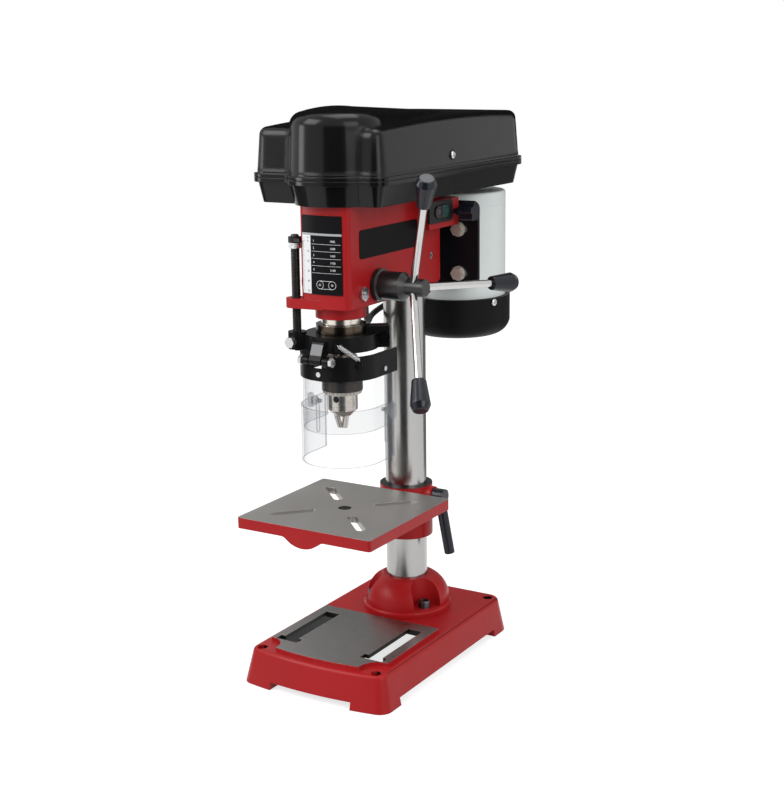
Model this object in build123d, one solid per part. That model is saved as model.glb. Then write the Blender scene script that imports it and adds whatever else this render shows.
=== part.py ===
from build123d import *
import math
import os

# A bench drill press with a belt drive, in millimetres.
# The origin is on the floor at the centre of the base's bolt holes. +Z is up, the operator
# stands at -Y and the feed levers are on +X.

# Fits
running = 0.05
seat = 0.1
gap = 0.3

# Stand
base_width = 180.0
base_length = 290.0
base_height = 38.0
base_draft = 8.0
base_corner = 22.0
base_front_corner = 14.0
base_bow = 9.0
base_wall = 6.0
base_edge = 5.0
foot_side = 40.0
foot_arch = 8.0
bolt_span_x = 142.0
bolt_span_y = 246.0
bolt_hole = 11.0
pad_rise = 4.0
pad_width = 146.0
pad_rear = 4.0
pad_margin = 7.0
pad_notch = 19.0
base_slot_spread = 106.0
base_slot_width = 17.0
base_slot_front = -104.0
base_slot_rear = -13.0
base_slot_head = 27.0
base_slot_head_length = 10.0
base_slot_deck = 4.5
base_slot_relief = 8.0
column_radius = 23.0
column_wall = 3.5
column_length = 432.0
column_y = 61.0
flange_radius = 49.5
flange_height = 39.0
flange_lip = 5.0
flange_groove = 1.6
flange_top = 27.5
flange_bulge = 6.0
flange_bolt_circle = 38.5
flange_bolt_seat = 9.0
flange_scallop = 17.0
flange_scallop_out = 5.0
flange_bolt = 8.0
flange_bolt_grip = 12.0

# Table
throat = 127.0
table_size = 162.0
table_top = 188.0
table_plate = 7.0
table_rim = 11.6
table_rim_wall = 6.0
table_corner = 3.0
table_hole = 14.0
table_slot_width = 10.0
table_slot_start = 30.0
table_slot_end = 80.0
table_bulge_radius = 30.2
table_bulge_drop = 9.8
tilt_height = 160.0
tilt_boss = 20.0
tilt_boss_length = 26.0
tilt_bolt = 12.0
collar_radius = 29.5
collar_bottom = 125.0
collar_top = 184.0
arm_half = 17.0
clamp_height = 173.0
clamp_screw = 10.0
clamp_boss = 10.0
clamp_reach = 36.0
lever_hub = 8.5
lever_length = 66.0
lever_splay = 11.0

# Head
head_half = 30.0
head_front = -100.0
head_bow = 4.8
head_rear = 94.0
head_bottom = 405.0
head_top = 508.0
head_corner = 6.0
rod_corner = 10.0
head_rear_corner = 8.0
head_rear_rise = 9.0
head_rear_slope = 26.0
column_boss_drop = 6.0
nose_radius = 26.0
nose_drop = 12.0
side_boss_face = 44.0
side_boss_front = 40.0
side_boss_rear = 105.0
side_boss_bottom = 471.0
side_boss_top = 501.0
pocket_half = 22.0
pocket_front = -24.0
pocket_rear = 28.0
pocket_floor = 415.0
set_screw = 8.0
set_screw_rise = 35.0
set_screw_back = 9.0
label_thickness = 0.6
front_label_width = 47.0
front_label_low = 420.0
front_label_high = 499.0
side_label_front = -76.0
side_label_rear = 38.0
side_label_low = 454.0
side_label_high = 483.0

# Switch
switch_y = 62.0
switch_z = 489.0
switch_plate_length = 50.0
switch_plate_height = 23.0
switch_plate_thickness = 2.5
button_length = 14.0
button_height = 13.0
button_gap = 1.0
button_rise = 2.0
button_travel = 2.0

# Quill, spindle and chuck
quill_radius = 20.5
quill_top = 480.0
quill_bottom = 360.0
quill_flange = 26.0
quill_flange_low = 377.3
quill_flange_high = 386.0
quill_bore = 11.0
quill_spigot = 23.0
quill_travel = 50.0
guide_screw = 5.0
guide_height = 419.0
guide_forward = 6.0
guide_depth = 2.5
lower_bearing_outer = 35.0
lower_bearing_bore = 15.0
lower_bearing_width = 11.0
upper_bearing_outer = 28.0
upper_bearing_bore = 12.0
upper_bearing_width = 8.0
spindle_top = 590.0
spline_count = 6
spline_width = 2.4
spline_depth = 1.2
chuck_nose = 289.0
chuck_shoulder = 296.0
chuck_radius = 15.65
sleeve_bottom = 313.0
sleeve_top = 341.0
sleeve_radius = 21.2
sleeve_bore = 17.0
sleeve_relief = 19.9
sleeve_lip = 3.8
sleeve_teeth = 30
chuck_top = 352.0
taper_depth = 22.0
taper_radius = 7.9
jaw_tip = 276.0
jaw_radius = 2.8
jaw_length = 28.0
jaw_angle = 15.0
jaw_spread = 2.9
jaw_first = 97.5
key_hole = 7.0
key_hole_height = 308.6

# Feed
feed_y = -41.0
feed_z = 424.0
pinion_module = 1.25
pinion_teeth = 14
pinion_width = 20.0
pressure_angle = 20.0
tooth_addendum = 0.8
tooth_dedendum = 1.05
tooth_backlash = 0.25
hub_radius = 14.7
hub_length = 34.0
hub_flange = 17.0
hub_nose = 9.1
hub_end = 86.5
feed_journal = 10.0
feed_neck = 7.0
feed_end = 5.0
lever_root = 71.0
lever_cone = 21.0
lever_first = -26.0
lever_rod = 8.0
lever_reach = 139.0
grip_length = 34.0
grip_small = 7.5
grip_large = 10.5
cap_radius = 20.0
cap_depth = 22.0
cap_wall = 1.6
spring_strip = 0.8
spring_width = 14.0
spring_turns = 6

# Depth stop
rod_x = -36.0
rod_y = -93.0
rod_radius = 4.75
rod_top = 478.0
lug_radius = 10.5
lug_bottom = 404.0
lug_top = 413.6
stop_nut_size = 12.0
stop_nut_height = 5.6
pointer_height = 5.6

# Chuck guard
holder_low = 361.0
holder_high = 377.0
holder_radius = 38.0
ear_angle = 36.0
ear_reach = 49.0
ear_width = 18.0
ear_rise = 6.0
ear_slit = 3.0
guard_radius = 41.0
guard_wall = 2.0
guard_back = 31.0
band_wall = 1.9
band_low = 333.0
band_high = 358.0
band_back = 39.0
upper_high = 345.0
upper_rim = 18.0
lower_length = 59.0
lower_rim = 6.0
lower_wall = 2.3
lower_travel = 30.0
wing_height = 296.0
wing_back = 16.5
wing_screw = 4.2
pin_ahead = 47.0
pin_height = 354.5
pin_radius = 2.0
knuckle_radius = 4.0
knuckle_half = 7.0
spring_wire = 0.8
spring_coil = 2.4
spring_loops = 12

# Drive
motor_y = 183.0
motor_radius = 55.0
motor_wall = 2.5
can_bottom = 372.0
can_top = 485.0
bell_top = 500.0
fan_cover_radius = 60.5
fan_cover_top = 381.0
fan_cover_bottom = 335.0
fan_cover_chamfer = 16.0
fan_cover_flat = 44.0
motor_plate_half = 61.0
motor_plate_low = 400.0
motor_plate_high = 495.0
motor_plate_face = 118.0
motor_plate_thickness = 4.0
motor_bolt_x = 37.0
motor_bolt_low = 414.6
motor_bolt_high = 463.5
motor_bolt = 8.0
motor_slide = 10.0
bar_x = 37.0
bar_z = 486.0
bar_radius = 5.0
bar_front = 88.0
tension_y = 95.0
tension_knob = 10.5
tension_knob_length = 16.0
tension_stem = 10.0
shaft_radius = 7.0
pulley_bottom = 522.0
step_height = 11.0
spindle_steps = (38.0, 35.0, 32.0, 29.0, 26.0)
step_sum = 65.0
belt_step_count = 2
belt_width = 9.0
belt_depth = 6.0
belt_angle = 18.0
belt_clear = 0.2
pulley_bearing_outer = 47.0
pulley_bearing_bore = 25.0
pulley_bearing_width = 12.0

# Belt cover
cover_left = -86.0
cover_right = 66.0
cover_front = -94.0
cover_rear = 230.0
cover_front_corner = 13.0
cover_rear_corner = 30.0
cover_bulge = 50.0
tray_inset = 6.0
cover_wall = 2.5
tray_floor = 3.0
rim_low = 529.0
rim_split = 533.6
rim_high = 537.6
rim_out = 3.0
lid_inset = 5.0
lid_apex = 590.5
lid_apex_y = 110.0
lid_front_drop = 7.5
lid_edge = 9.0
dome_top = 604.6
dome_draft = 2.5
dome_shoulder = 17.0
dome_crown = 5.3
dome_tail_y = 150.0
dome_tail_top = 590.3
dome_tail_half = 16.0
dome_tail_scale = 0.35
hinge_radius = 4.5
hinge_pin = 4.0
hinge_knuckle = 20.0
hinge_places = (30.0, 130.0)
lid_screw_y = 53.0
lid_screw_z = 549.5
lid_screw_head = 8.4

# Lead from the head to the motor
lead_diameter = 6.5
gland_x = -8.0
gland_y = -6.0
gland_length = 8.0
entry_x = -18.0
entry_z = 390.0

# Places worked out from the sizes above
spindle_y = column_y - throat
column_top = base_height + column_length
pad_top = base_height + pad_rise
pitch_radius = pinion_module * pinion_teeth / 2
rack_pitch_line = feed_y - pitch_radius
stop_nut_low = lug_top + quill_travel + 0.5
table_rear = spindle_y + table_size / 2
bracket_face = table_rear + gap
lower_bearing_low = quill_bottom
upper_bearing_low = quill_top - upper_bearing_width
pin_y = spindle_y - pin_ahead
band_radius = guard_radius + 0.1 + band_wall
lower_inner = guard_radius + gap
lower_outer = lower_inner + lower_wall
upper_low = wing_height - upper_rim
lower_high = wing_height + lower_rim
lower_low = lower_high - lower_length
sleeve_bearing_low = head_top - 2 * pulley_bearing_width - gap
belt_height = pulley_bottom + (belt_step_count + 0.5) * step_height
motor_steps = [step_sum - r for r in spindle_steps]
fan_screw_height = (can_bottom + fan_cover_top) / 2

made = []
middle_low = (Align.CENTER, Align.CENTER, Align.MIN)


def upright(radius, low, high, x=0.0, y=0.0):
    return Pos(x, y, low) * Cylinder(radius, high - low, align=middle_low)


def crosswise(radius, left, right, y, z):
    return Pos(left, y, z) * Rot(0, 90, 0) * Cylinder(radius, right - left, align=middle_low)


def lengthwise(radius, front, back, x, z):
    return Pos(x, front, z) * Rot(-90, 0, 0) * Cylinder(radius, back - front, align=middle_low)


def between(radius, start, end):
    line = Vector(*end) - Vector(*start)
    return Plane(origin=start, z_dir=line) * Cylinder(radius, line.length, align=middle_low)


def block(left, right, front, back, low, high):
    middle = Pos((left + right) / 2, (front + back) / 2, (low + high) / 2)
    return middle * Box(right - left, back - front, high - low)


def tube(outer, inner, low, high, x=0.0, y=0.0):
    return upright(outer, low, high, x, y) - upright(inner, low - 1, high + 1, x, y)


def turned(points, x=0.0, y=0.0):
    face = make_face(Polyline(*points, close=True))
    return Pos(x, y, 0) * revolve(Plane.XZ * face, Axis.Z)


def turned_across(points, y, z):
    face = make_face(Polyline(*points, close=True))
    return Pos(0, y, z) * revolve(Plane.XZ * face, Axis.X)


def side_prism(points, left, right):
    # points are (y, z), the prism runs from left to right along X
    face = make_face(Polyline(*points, close=True))
    return extrude(Plane(origin=(left, 0, 0), x_dir=(0, 1, 0), z_dir=(1, 0, 0)) * face, right - left)


def hexagon(across, height):
    return extrude(RegularPolygon(across / 2, 6, major_radius=False), height)


def save(name, shape):
    export_step(shape, f"parts/{name}.step")
    made.append(name)


def turn_about_spindle(shape, angle):
    return Pos(0, spindle_y, 0) * Rot(0, 0, angle) * Pos(0, -spindle_y, 0) * shape


def bearing(outer, bore, width, low, x, y):
    land = 0.18 * (outer - bore) / 2
    recess = 0.08 * width
    ring = tube(outer / 2, bore / 2, low, low + width, x, y)
    shield = tube(outer / 2 - land, bore / 2 + land, low, low + recess, x, y)
    return ring - shield - Pos(0, 0, width - recess) * shield


# Base casting
def base_outline(inset, height):
    half = base_width / 2 - inset
    front = inset - base_length / 2
    rear = base_length / 2 - inset
    shoulder = front + base_bow
    edges = [
        Line((half, shoulder), (half, rear)),
        Line((half, rear), (-half, rear)),
        Line((-half, rear), (-half, shoulder)),
        ThreePointArc((-half, shoulder), (0, front), (half, shoulder)),
    ]
    face = make_face(edges)
    face = fillet(face.vertices().group_by(Axis.Y)[-1], base_corner - inset)
    front_corner = base_front_corner - 0.5 * inset
    return Pos(0, 0, height) * fillet(face.vertices().group_by(Axis.Y)[0], front_corner)


def base_corners(low, high):
    corners = Part()
    for sx in (-1, 1):
        for sy in (-1, 1):
            x = sx * (base_width - foot_side) / 2
            y = sy * (base_length - foot_side) / 2
            corners += Pos(x, y, low) * Box(foot_side, foot_side, high - low, align=middle_low)
    return corners


def base_casting():
    body = loft([base_outline(0, 0), base_outline(base_draft, base_height)], ruled=True)
    body = fillet(body.edges().group_by(Axis.Z)[-1], base_edge)
    roof = base_height - base_wall
    inner_draft = base_draft * roof / base_height
    hollow = loft([base_outline(base_wall, -0.01), base_outline(base_wall + inner_draft, roof)], ruled=True)
    shell = body - (hollow - base_corners(-1, roof))
    arch = block(-base_width, base_width, -base_length, base_length, -1, foot_arch)
    shell -= arch - base_corners(-1, foot_arch + 1)
    pad = base_outline(base_draft + pad_margin, base_height - 1)
    reach = pad_rear + base_length / 2
    pad &= Pos(0, pad_rear - reach / 2, base_height - 1) * Rectangle(pad_width, reach)
    for sx in (-1, 1):
        pad -= Pos(sx * bolt_span_x / 2, -bolt_span_y / 2, base_height - 1) * Circle(pad_notch)
    shell += extrude(pad, pad_rise + 1)
    for sx in (-1, 1):
        x = sx * base_slot_spread / 2
        shell -= block(
            x - base_slot_width / 2, x + base_slot_width / 2, base_slot_front, base_slot_rear, 0, pad_top + 1
        )
        shell -= block(
            x - base_slot_head / 2,
            x + base_slot_head / 2,
            base_slot_front,
            base_slot_front + base_slot_head_length,
            0,
            pad_top + 1,
        )
        shell -= block(
            x - base_slot_head / 2 - base_slot_relief,
            x + base_slot_head / 2 + base_slot_relief,
            base_slot_front - base_slot_relief / 2,
            base_slot_rear + base_slot_relief,
            roof - 1,
            pad_top - base_slot_deck,
        )
        for sy in (-1, 1):
            shell -= upright(bolt_hole / 2, -1, pad_top + 1, sx * bolt_span_x / 2, sy * bolt_span_y / 2)
    for x, y in flange_bolt_places():
        shell -= upright(flange_bolt / 2 + seat, roof - 1, base_height + 1, x, y)
    return shell


# Column, its flange and the flange bolts
def flange_bolt_places(out=0):
    reach = flange_bolt_circle + out
    angles = [math.radians(90 + 120 * n) for n in range(3)]
    return [(reach * math.cos(a), column_y + reach * math.sin(a)) for a in angles]


def column_flange():
    bore = column_radius + running
    neck = flange_radius - flange_groove
    low = base_height
    dome_start = low + flange_lip + 2 * flange_groove
    dome_end = low + flange_height
    chord = Vector(flange_top - neck, dome_end - dome_start)
    middle = Vector((neck + flange_top) / 2, (dome_start + dome_end) / 2)
    outward = Vector(chord.Y, -chord.X).normalized()
    crown = middle + outward * flange_bulge
    edges = [
        Line((bore, low), (flange_radius, low)),
        Line((flange_radius, low), (flange_radius, low + flange_lip)),
        Line((flange_radius, low + flange_lip), (neck, low + flange_lip + flange_groove)),
        Line((neck, low + flange_lip + flange_groove), (neck, dome_start)),
        ThreePointArc((neck, dome_start), (crown.X, crown.Y), (flange_top, dome_end)),
        Line((flange_top, dome_end), (bore, dome_end)),
        Line((bore, dome_end), (bore, low)),
    ]
    body = Pos(0, column_y, 0) * revolve(Plane.XZ * make_face(edges), Axis.Z)
    for x, y in flange_bolt_places(flange_scallop_out):
        body -= upright(flange_scallop, low + flange_bolt_seat, dome_end + 1, x, y)
    for x, y in flange_bolt_places():
        body -= upright(flange_bolt / 2 + seat, low - 1, dome_end, x, y)
    return body


def socket_bolt(diameter, grip, x, y, seat_z):
    head = upright(0.8 * diameter, seat_z, seat_z + diameter, x, y)
    head = fillet(head.edges().group_by(Axis.Z)[-1], 0.1 * diameter)
    head -= Pos(x, y, seat_z + 0.5 * diameter) * hexagon(0.75 * diameter, diameter)
    return head + upright(diameter / 2, seat_z - grip, seat_z + 0.1, x, y)


def flange_bolts():
    grip = flange_bolt_seat + flange_bolt_grip
    bolts = Part()
    for x, y in flange_bolt_places():
        bolts += socket_bolt(flange_bolt, grip, x, y, base_height + flange_bolt_seat)
    return bolts


save("base_casting", base_casting())
save("column", tube(column_radius, column_radius - column_wall, base_height, column_top, 0, column_y))
save("column_flange", column_flange())
save("flange_bolts", flange_bolts())


# Table, bracket and clamp
def table():
    plan = Pos(0, spindle_y) * RectangleRounded(table_size, table_size, table_corner)
    inside = table_size - 2 * table_rim_wall
    inner = Pos(0, spindle_y) * RectangleRounded(inside, inside, table_corner)
    low = table_top - table_rim
    body = extrude(Pos(0, 0, low) * plan, table_rim)
    body -= extrude(Pos(0, 0, low) * inner, table_rim - table_plate)
    front = spindle_y - table_size / 2
    bulge_middle = low - table_bulge_drop + table_bulge_radius
    swell = Pos(0, bulge_middle) * Circle(table_bulge_radius)
    swell &= Pos(0, low - table_bulge_drop) * Rectangle(table_size, 2 * table_bulge_drop + 2)
    swell += Pos(0, low + 1) * Rectangle(3 * table_bulge_radius, 2)
    feet = [v for v in swell.vertices() if abs(v.Y - low) < 0.01 and abs(v.X) < table_bulge_radius]
    swell = fillet(feet, table_bulge_drop)
    rim_face = Plane(origin=(0, front, 0), x_dir=(1, 0, 0), z_dir=(0, -1, 0))
    body += extrude(rim_face * swell, -table_rim_wall)
    boss_front = table_rear - tilt_boss_length
    web = block(-tilt_boss, tilt_boss, boss_front, table_rear, tilt_height, table_top - 1)
    body += web + lengthwise(tilt_boss, boss_front, table_rear, 0, tilt_height)
    body -= lengthwise(tilt_bolt / 2 + running, boss_front - 1, table_rear + 1, 0, tilt_height)
    body -= upright(table_hole / 2, low, table_top + 1, 0, spindle_y)
    slot_length = table_slot_end - table_slot_start
    slot_middle = (table_slot_end + table_slot_start) / 2
    for n in range(4):
        slot = Pos(slot_middle, 0) * SlotOverall(slot_length, table_slot_width)
        cutter = extrude(Pos(0, spindle_y, low - 1) * Rot(0, 0, 45 + 90 * n) * slot, table_rim + 2)
        body -= cutter & block(-table_size, table_size, front, boss_front, low - 1, table_top + 1)
    return body


def tilt_bolt_piece():
    washer = 2.0
    head = 0.65 * tilt_bolt
    face = table_rear - tilt_boss_length - running
    shank = lengthwise(tilt_bolt / 2, face - 0.1, bracket_face + tilt_bolt, 0, tilt_height)
    ring = lengthwise(tilt_bolt, face - washer, face, 0, tilt_height)
    hex_head = Pos(0, face - washer, tilt_height) * Rot(90, 0, 0) * hexagon(1.5 * tilt_bolt, head)
    return shank + ring + hex_head


def table_bracket():
    body = upright(collar_radius, collar_bottom, collar_top, 0, column_y)
    disc_back = bracket_face + tilt_bolt + 2
    body += lengthwise(tilt_boss, bracket_face, disc_back, 0, tilt_height)
    arm_low = tilt_height - tilt_boss
    body += block(-arm_half, arm_half, disc_back - 4, column_y, arm_low, tilt_height + arm_half)
    body += crosswise(clamp_boss, 0, clamp_reach, column_y, clamp_height)
    body -= upright(column_radius + running, collar_bottom - 1, collar_top + 1, 0, column_y)
    bolt_end = bracket_face + tilt_bolt + 0.5
    body -= lengthwise(tilt_bolt / 2 + running, bracket_face - 1, bolt_end, 0, tilt_height)
    body -= crosswise(clamp_screw / 2 + running, 0, clamp_reach + 1, column_y, clamp_height)
    return body


def clamp_lever():
    near = clamp_reach + gap
    far = near + 1.6 * lever_hub
    screw = crosswise(clamp_screw / 2, column_radius + gap, near, column_y, clamp_height)
    hub = crosswise(lever_hub, near, far, column_y, clamp_height)
    splay = math.radians(lever_splay)
    root_x = (near + far) / 2
    tip = (root_x + lever_length * math.sin(splay), column_y, clamp_height - lever_length * math.cos(splay))
    arm = between(0.68 * lever_hub, (root_x, column_y, clamp_height), tip)
    arm = fillet(arm.edges().group_by(Axis.Z)[0], 0.2 * lever_hub)
    return screw + hub + arm


save("table", table())
save("table_tilt_bolt", tilt_bolt_piece())
save("table_bracket", table_bracket())
save("table_clamp_lever", clamp_lever())


# Head casting with its labels and screws
def head_outline(height):
    shoulder = head_front + head_bow
    edges = [
        Line((head_half, shoulder), (head_half, head_rear)),
        Line((head_half, head_rear), (-head_half, head_rear)),
        Line((-head_half, head_rear), (-head_half, shoulder)),
        ThreePointArc((-head_half, shoulder), (0, head_front), (head_half, shoulder)),
    ]
    face = make_face(edges)
    face = fillet(face.vertices().sort_by_distance((head_half, shoulder, 0))[0], head_corner)
    face = fillet(face.vertices().sort_by_distance((-head_half, shoulder, 0))[0], rod_corner)
    rear = face.vertices().group_by(Axis.Y)[-1]
    return Pos(0, 0, height) * fillet(rear, head_rear_corner)


def head_casting():
    body = extrude(head_outline(head_bottom), head_top - head_bottom)
    slope = [
        (head_rear - head_rear_slope, head_bottom - 0.01),
        (head_rear + 1, head_bottom - 0.01),
        (head_rear + 1, head_bottom + head_rear_rise),
    ]
    body -= side_prism(slope, -head_half - 1, head_half + 1)
    body += upright(head_half - 1, head_bottom - column_boss_drop, pocket_floor, 0, column_y)
    body += upright(nose_radius, head_bottom - nose_drop, head_bottom + 1, 0, spindle_y)
    for sx in (-1, 1):
        wing = Rectangle(side_boss_rear - side_boss_front, side_boss_top - side_boss_bottom)
        wing = fillet(wing.vertices(), 3)
        middle_y = (side_boss_front + side_boss_rear) / 2
        middle_z = (side_boss_bottom + side_boss_top) / 2
        face_plane = Plane(origin=(0, middle_y, middle_z), x_dir=(0, 1, 0), z_dir=(1, 0, 0))
        body += extrude(face_plane * wing, sx * side_boss_face)
    body += upright(lug_radius, lug_bottom, lug_top, rod_x, rod_y)
    arm = Polyline(
        (rod_x, rod_y - lug_radius),
        (0, head_front),
        (0, rod_y + lug_radius),
        (rod_x, rod_y + lug_radius),
        close=True,
    )
    body += extrude(Pos(0, 0, lug_bottom) * make_face(arm), lug_top - lug_bottom)
    body -= upright(column_radius + running, 0, column_top + gap, 0, column_y)
    body -= upright(quill_radius + running, 0, sleeve_bearing_low + 1, 0, spindle_y)
    body -= upright(pulley_bearing_outer / 2 + running, sleeve_bearing_low, head_top + 1, 0, spindle_y)
    body -= crosswise(feed_neck + running, -head_half - 1, 0, feed_y, feed_z)
    body -= crosswise(feed_journal + running, -pinion_width / 2 - 2, head_half + 1, feed_y, feed_z)
    body -= block(-pocket_half, pocket_half, pocket_front, pocket_rear, pocket_floor, head_top + 1)
    body -= upright(rod_radius + 2 * seat, lug_bottom - 1, lug_top + 1, rod_x, rod_y)
    for sx in (-1, 1):
        start = bar_front - motor_slide - 1
        body -= lengthwise(bar_radius + running, start, side_boss_rear + 1, sx * bar_x, bar_z)
    body -= crosswise(3 + running, bar_x, side_boss_face + 1, tension_y, bar_z)
    height = head_bottom + set_screw_rise
    screw_y = column_y + set_screw_back
    body -= crosswise(set_screw / 2 + running, -head_half - 1, head_half + 1, screw_y, height)
    body -= crosswise(guide_screw / 2 + running, 0, head_half + 1, spindle_y - guide_forward, guide_height)
    depth = button_travel + 1
    half = button_length + button_gap
    body -= block(
        side_boss_face - depth,
        side_boss_face + 1,
        switch_y - half,
        switch_y + half,
        switch_z - button_height / 2 - 0.5,
        switch_z + button_height / 2 + 0.5,
    )
    body -= upright(lead_diameter / 2 + 1.5, head_bottom - 1, pocket_floor + 1, gland_x, gland_y)
    return body


def head_screws():
    height = head_bottom + set_screw_rise
    start = math.sqrt(column_radius**2 - (set_screw_back - set_screw / 2) ** 2) + gap
    y = column_y + set_screw_back
    grub = crosswise(set_screw / 2, start, head_half - 1, y, height)
    grub -= Pos(head_half - 4, y, height) * Rot(0, 90, 0) * hexagon(set_screw / 2, 8)
    screws = grub + Rot(0, 0, 180) * Pos(0, -2 * y, 0) * grub
    tip = quill_radius - guide_depth + gap
    guide_y = spindle_y - guide_forward
    guide = crosswise(guide_screw / 2, tip, head_half + 6, guide_y, guide_height)
    nut = Rot(0, 90, 0) * hexagon(2.6 * guide_screw, 0.8 * guide_screw)
    nut = Pos(head_half, guide_y, guide_height) * nut
    nut -= crosswise(guide_screw / 2 + running, 0, head_half + 20, guide_y, guide_height)
    return screws + guide + nut


def label_plates():
    shoulder = head_front + head_bow
    radius = (head_half**2 + head_bow**2) / (2 * head_bow)
    ring = Pos(0, head_front + radius, front_label_low) * Circle(radius + gap + label_thickness)
    ring -= Pos(0, head_front + radius, front_label_low) * Circle(radius + gap)
    window = Pos(0, shoulder, front_label_low) * Rectangle(front_label_width, 4 * head_bow)
    front = extrude(ring & window, front_label_high - front_label_low)
    plan = RectangleRounded(side_label_rear - side_label_front, side_label_high - side_label_low, 3)
    middle_y = (side_label_front + side_label_rear) / 2
    middle_z = (side_label_low + side_label_high) / 2
    face = Plane(origin=(head_half, middle_y, middle_z), x_dir=(0, 1, 0), z_dir=(1, 0, 0))
    return front + extrude(face * plan, label_thickness)


save("head_casting", head_casting())
save("head_screws", head_screws())
save("label_plates", label_plates())


# Switch
def button_face(side):
    # half of a rounded bar: side -1 is the OFF button at the front, +1 the ON button behind it
    whole = SlotOverall(2 * button_length + button_gap, button_height)
    middle = side * (button_length + button_gap) / 2
    return whole & Pos(middle, 0) * Rectangle(button_length, button_height)


def switch_plane(x):
    return Plane(origin=(x, switch_y, switch_z), x_dir=(0, 1, 0), z_dir=(1, 0, 0))


def switch_plate():
    plate = RectangleRounded(switch_plate_length, switch_plate_height, 3)
    plate -= SlotOverall(2 * button_length + button_gap + 2 * gap, button_height + 2 * gap)
    return extrude(switch_plane(side_boss_face) * plate, switch_plate_thickness)


def button(side):
    low = side_boss_face - 0.8
    high = side_boss_face + switch_plate_thickness + button_rise
    body = extrude(switch_plane(low) * button_face(side), high - low)
    return fillet(body.edges().group_by(Axis.X)[-1], 0.6)


save("switch_plate", switch_plate())
save("off_button", button(-1))
save("on_button", button(1))


# Quill with its rack, bearings and spindle
def rack_cutter():
    pitch = math.pi * pinion_module
    lean = math.tan(math.radians(pressure_angle))
    tip_y = rack_pitch_line + tooth_addendum * pinion_module
    root_y = rack_pitch_line - (tooth_dedendum + 0.2) * pinion_module
    half = pitch / 4 + tooth_backlash / 2
    wide = half + (tip_y - rack_pitch_line) * lean
    narrow = half - (rack_pitch_line - root_y) * lean
    spaces = []
    low = feed_z - 3 * pitch
    count = int((quill_top - low) / pitch) + 2
    for n in range(count):
        z = low + n * pitch
        spaces += [(tip_y + 0.01, z - wide), (root_y, z - narrow)]
        spaces += [(root_y, z + narrow), (tip_y + 0.01, z + wide)]
    top = low + count * pitch
    outline = [(tip_y + 8, low - 2 * pitch), (tip_y, low - 2 * pitch)] + spaces
    outline += [(tip_y, top), (tip_y + 8, top)]
    return side_prism(outline, -quill_radius, quill_radius)


def quill():
    body = upright(quill_radius, quill_flange_low, quill_top, 0, spindle_y)
    body += upright(quill_flange, quill_flange_low, quill_flange_high, 0, spindle_y)
    body += upright(quill_spigot, quill_bottom, quill_flange_low + 0.1, 0, spindle_y)
    body -= upright(quill_bore, quill_bottom - 1, quill_top + 1, 0, spindle_y)
    seat_top = lower_bearing_low + lower_bearing_width
    body -= upright(lower_bearing_outer / 2 + running, quill_bottom - 1, seat_top, 0, spindle_y)
    body -= upright(upper_bearing_outer / 2 + running, upper_bearing_low, quill_top + 1, 0, spindle_y)
    body -= rack_cutter()
    groove = guide_screw / 2 + gap
    body -= block(
        quill_radius - guide_depth,
        quill_radius + 1,
        spindle_y - guide_forward - groove,
        spindle_y - guide_forward + groove,
        guide_height - 2 * groove,
        guide_height + quill_travel + 2 * groove,
    )
    return body


def quill_bearings():
    lower = (lower_bearing_outer, lower_bearing_bore, lower_bearing_width, lower_bearing_low)
    upper = (upper_bearing_outer, upper_bearing_bore, upper_bearing_width, upper_bearing_low)
    return bearing(*lower, 0, spindle_y) + bearing(*upper, 0, spindle_y)


def spline_grooves(width, depth, low, high, radius):
    grooves = Part()
    for n in range(spline_count):
        groove = block(radius - depth, radius + 2, spindle_y - width / 2, spindle_y + width / 2, low, high)
        grooves += turn_about_spindle(groove, 360 * n / spline_count)
    return grooves


def spindle():
    seat_low = lower_bearing_bore / 2 - running
    seat_high = upper_bearing_bore / 2 - running
    shoulder_low = lower_bearing_low + lower_bearing_width
    shoulder_high = upper_bearing_low - 2
    nose = chuck_top - taper_depth
    points = [
        (0, nose),
        (taper_radius - 0.05 * taper_depth, nose),
        (taper_radius, chuck_top),
        (seat_low + 2, chuck_top),
        (seat_low + 2, lower_bearing_low),
        (seat_low, lower_bearing_low),
        (seat_low, shoulder_low),
        (quill_bore - 2, shoulder_low),
        (quill_bore - 2, shoulder_low + 8),
        (seat_low, shoulder_low + 8),
        (seat_low, shoulder_high),
        (seat_high, shoulder_high),
        (seat_high, spindle_top),
        (0, spindle_top),
    ]
    body = turned(points, 0, spindle_y)
    return body - spline_grooves(spline_width, spline_depth, quill_top + 1, spindle_top + 1, seat_high)


save("quill", quill())
save("quill_bearings", quill_bearings())
save("spindle", spindle())


# Chuck
def jaw_axis(angle, height):
    # a point on a jaw's centre line at a height, for the jaw that lies at an angle round the spindle
    out = jaw_spread + (height - jaw_tip) * math.tan(math.radians(jaw_angle))
    a = math.radians(angle)
    return (out * math.cos(a), spindle_y + out * math.sin(a), height)


def jaw_places():
    return [jaw_first + 120 * n for n in range(3)]


def jaw(angle):
    top = jaw_tip + jaw_length
    body = between(jaw_radius, jaw_axis(angle, jaw_tip - 2), jaw_axis(angle, top))
    body &= upright(3 * chuck_radius, jaw_tip, top + 2 * jaw_radius, 0, spindle_y)
    reach = 3 * chuck_radius
    wedge = Pos(gap / 2, 0) * make_face(
        Polyline((0, 0), (reach, -reach * math.sqrt(3)), (reach, reach * math.sqrt(3)), close=True)
    )
    sector = extrude(Pos(0, spindle_y, jaw_tip - 5) * Rot(0, 0, angle) * wedge, 2 * jaw_length)
    return body & sector


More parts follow.
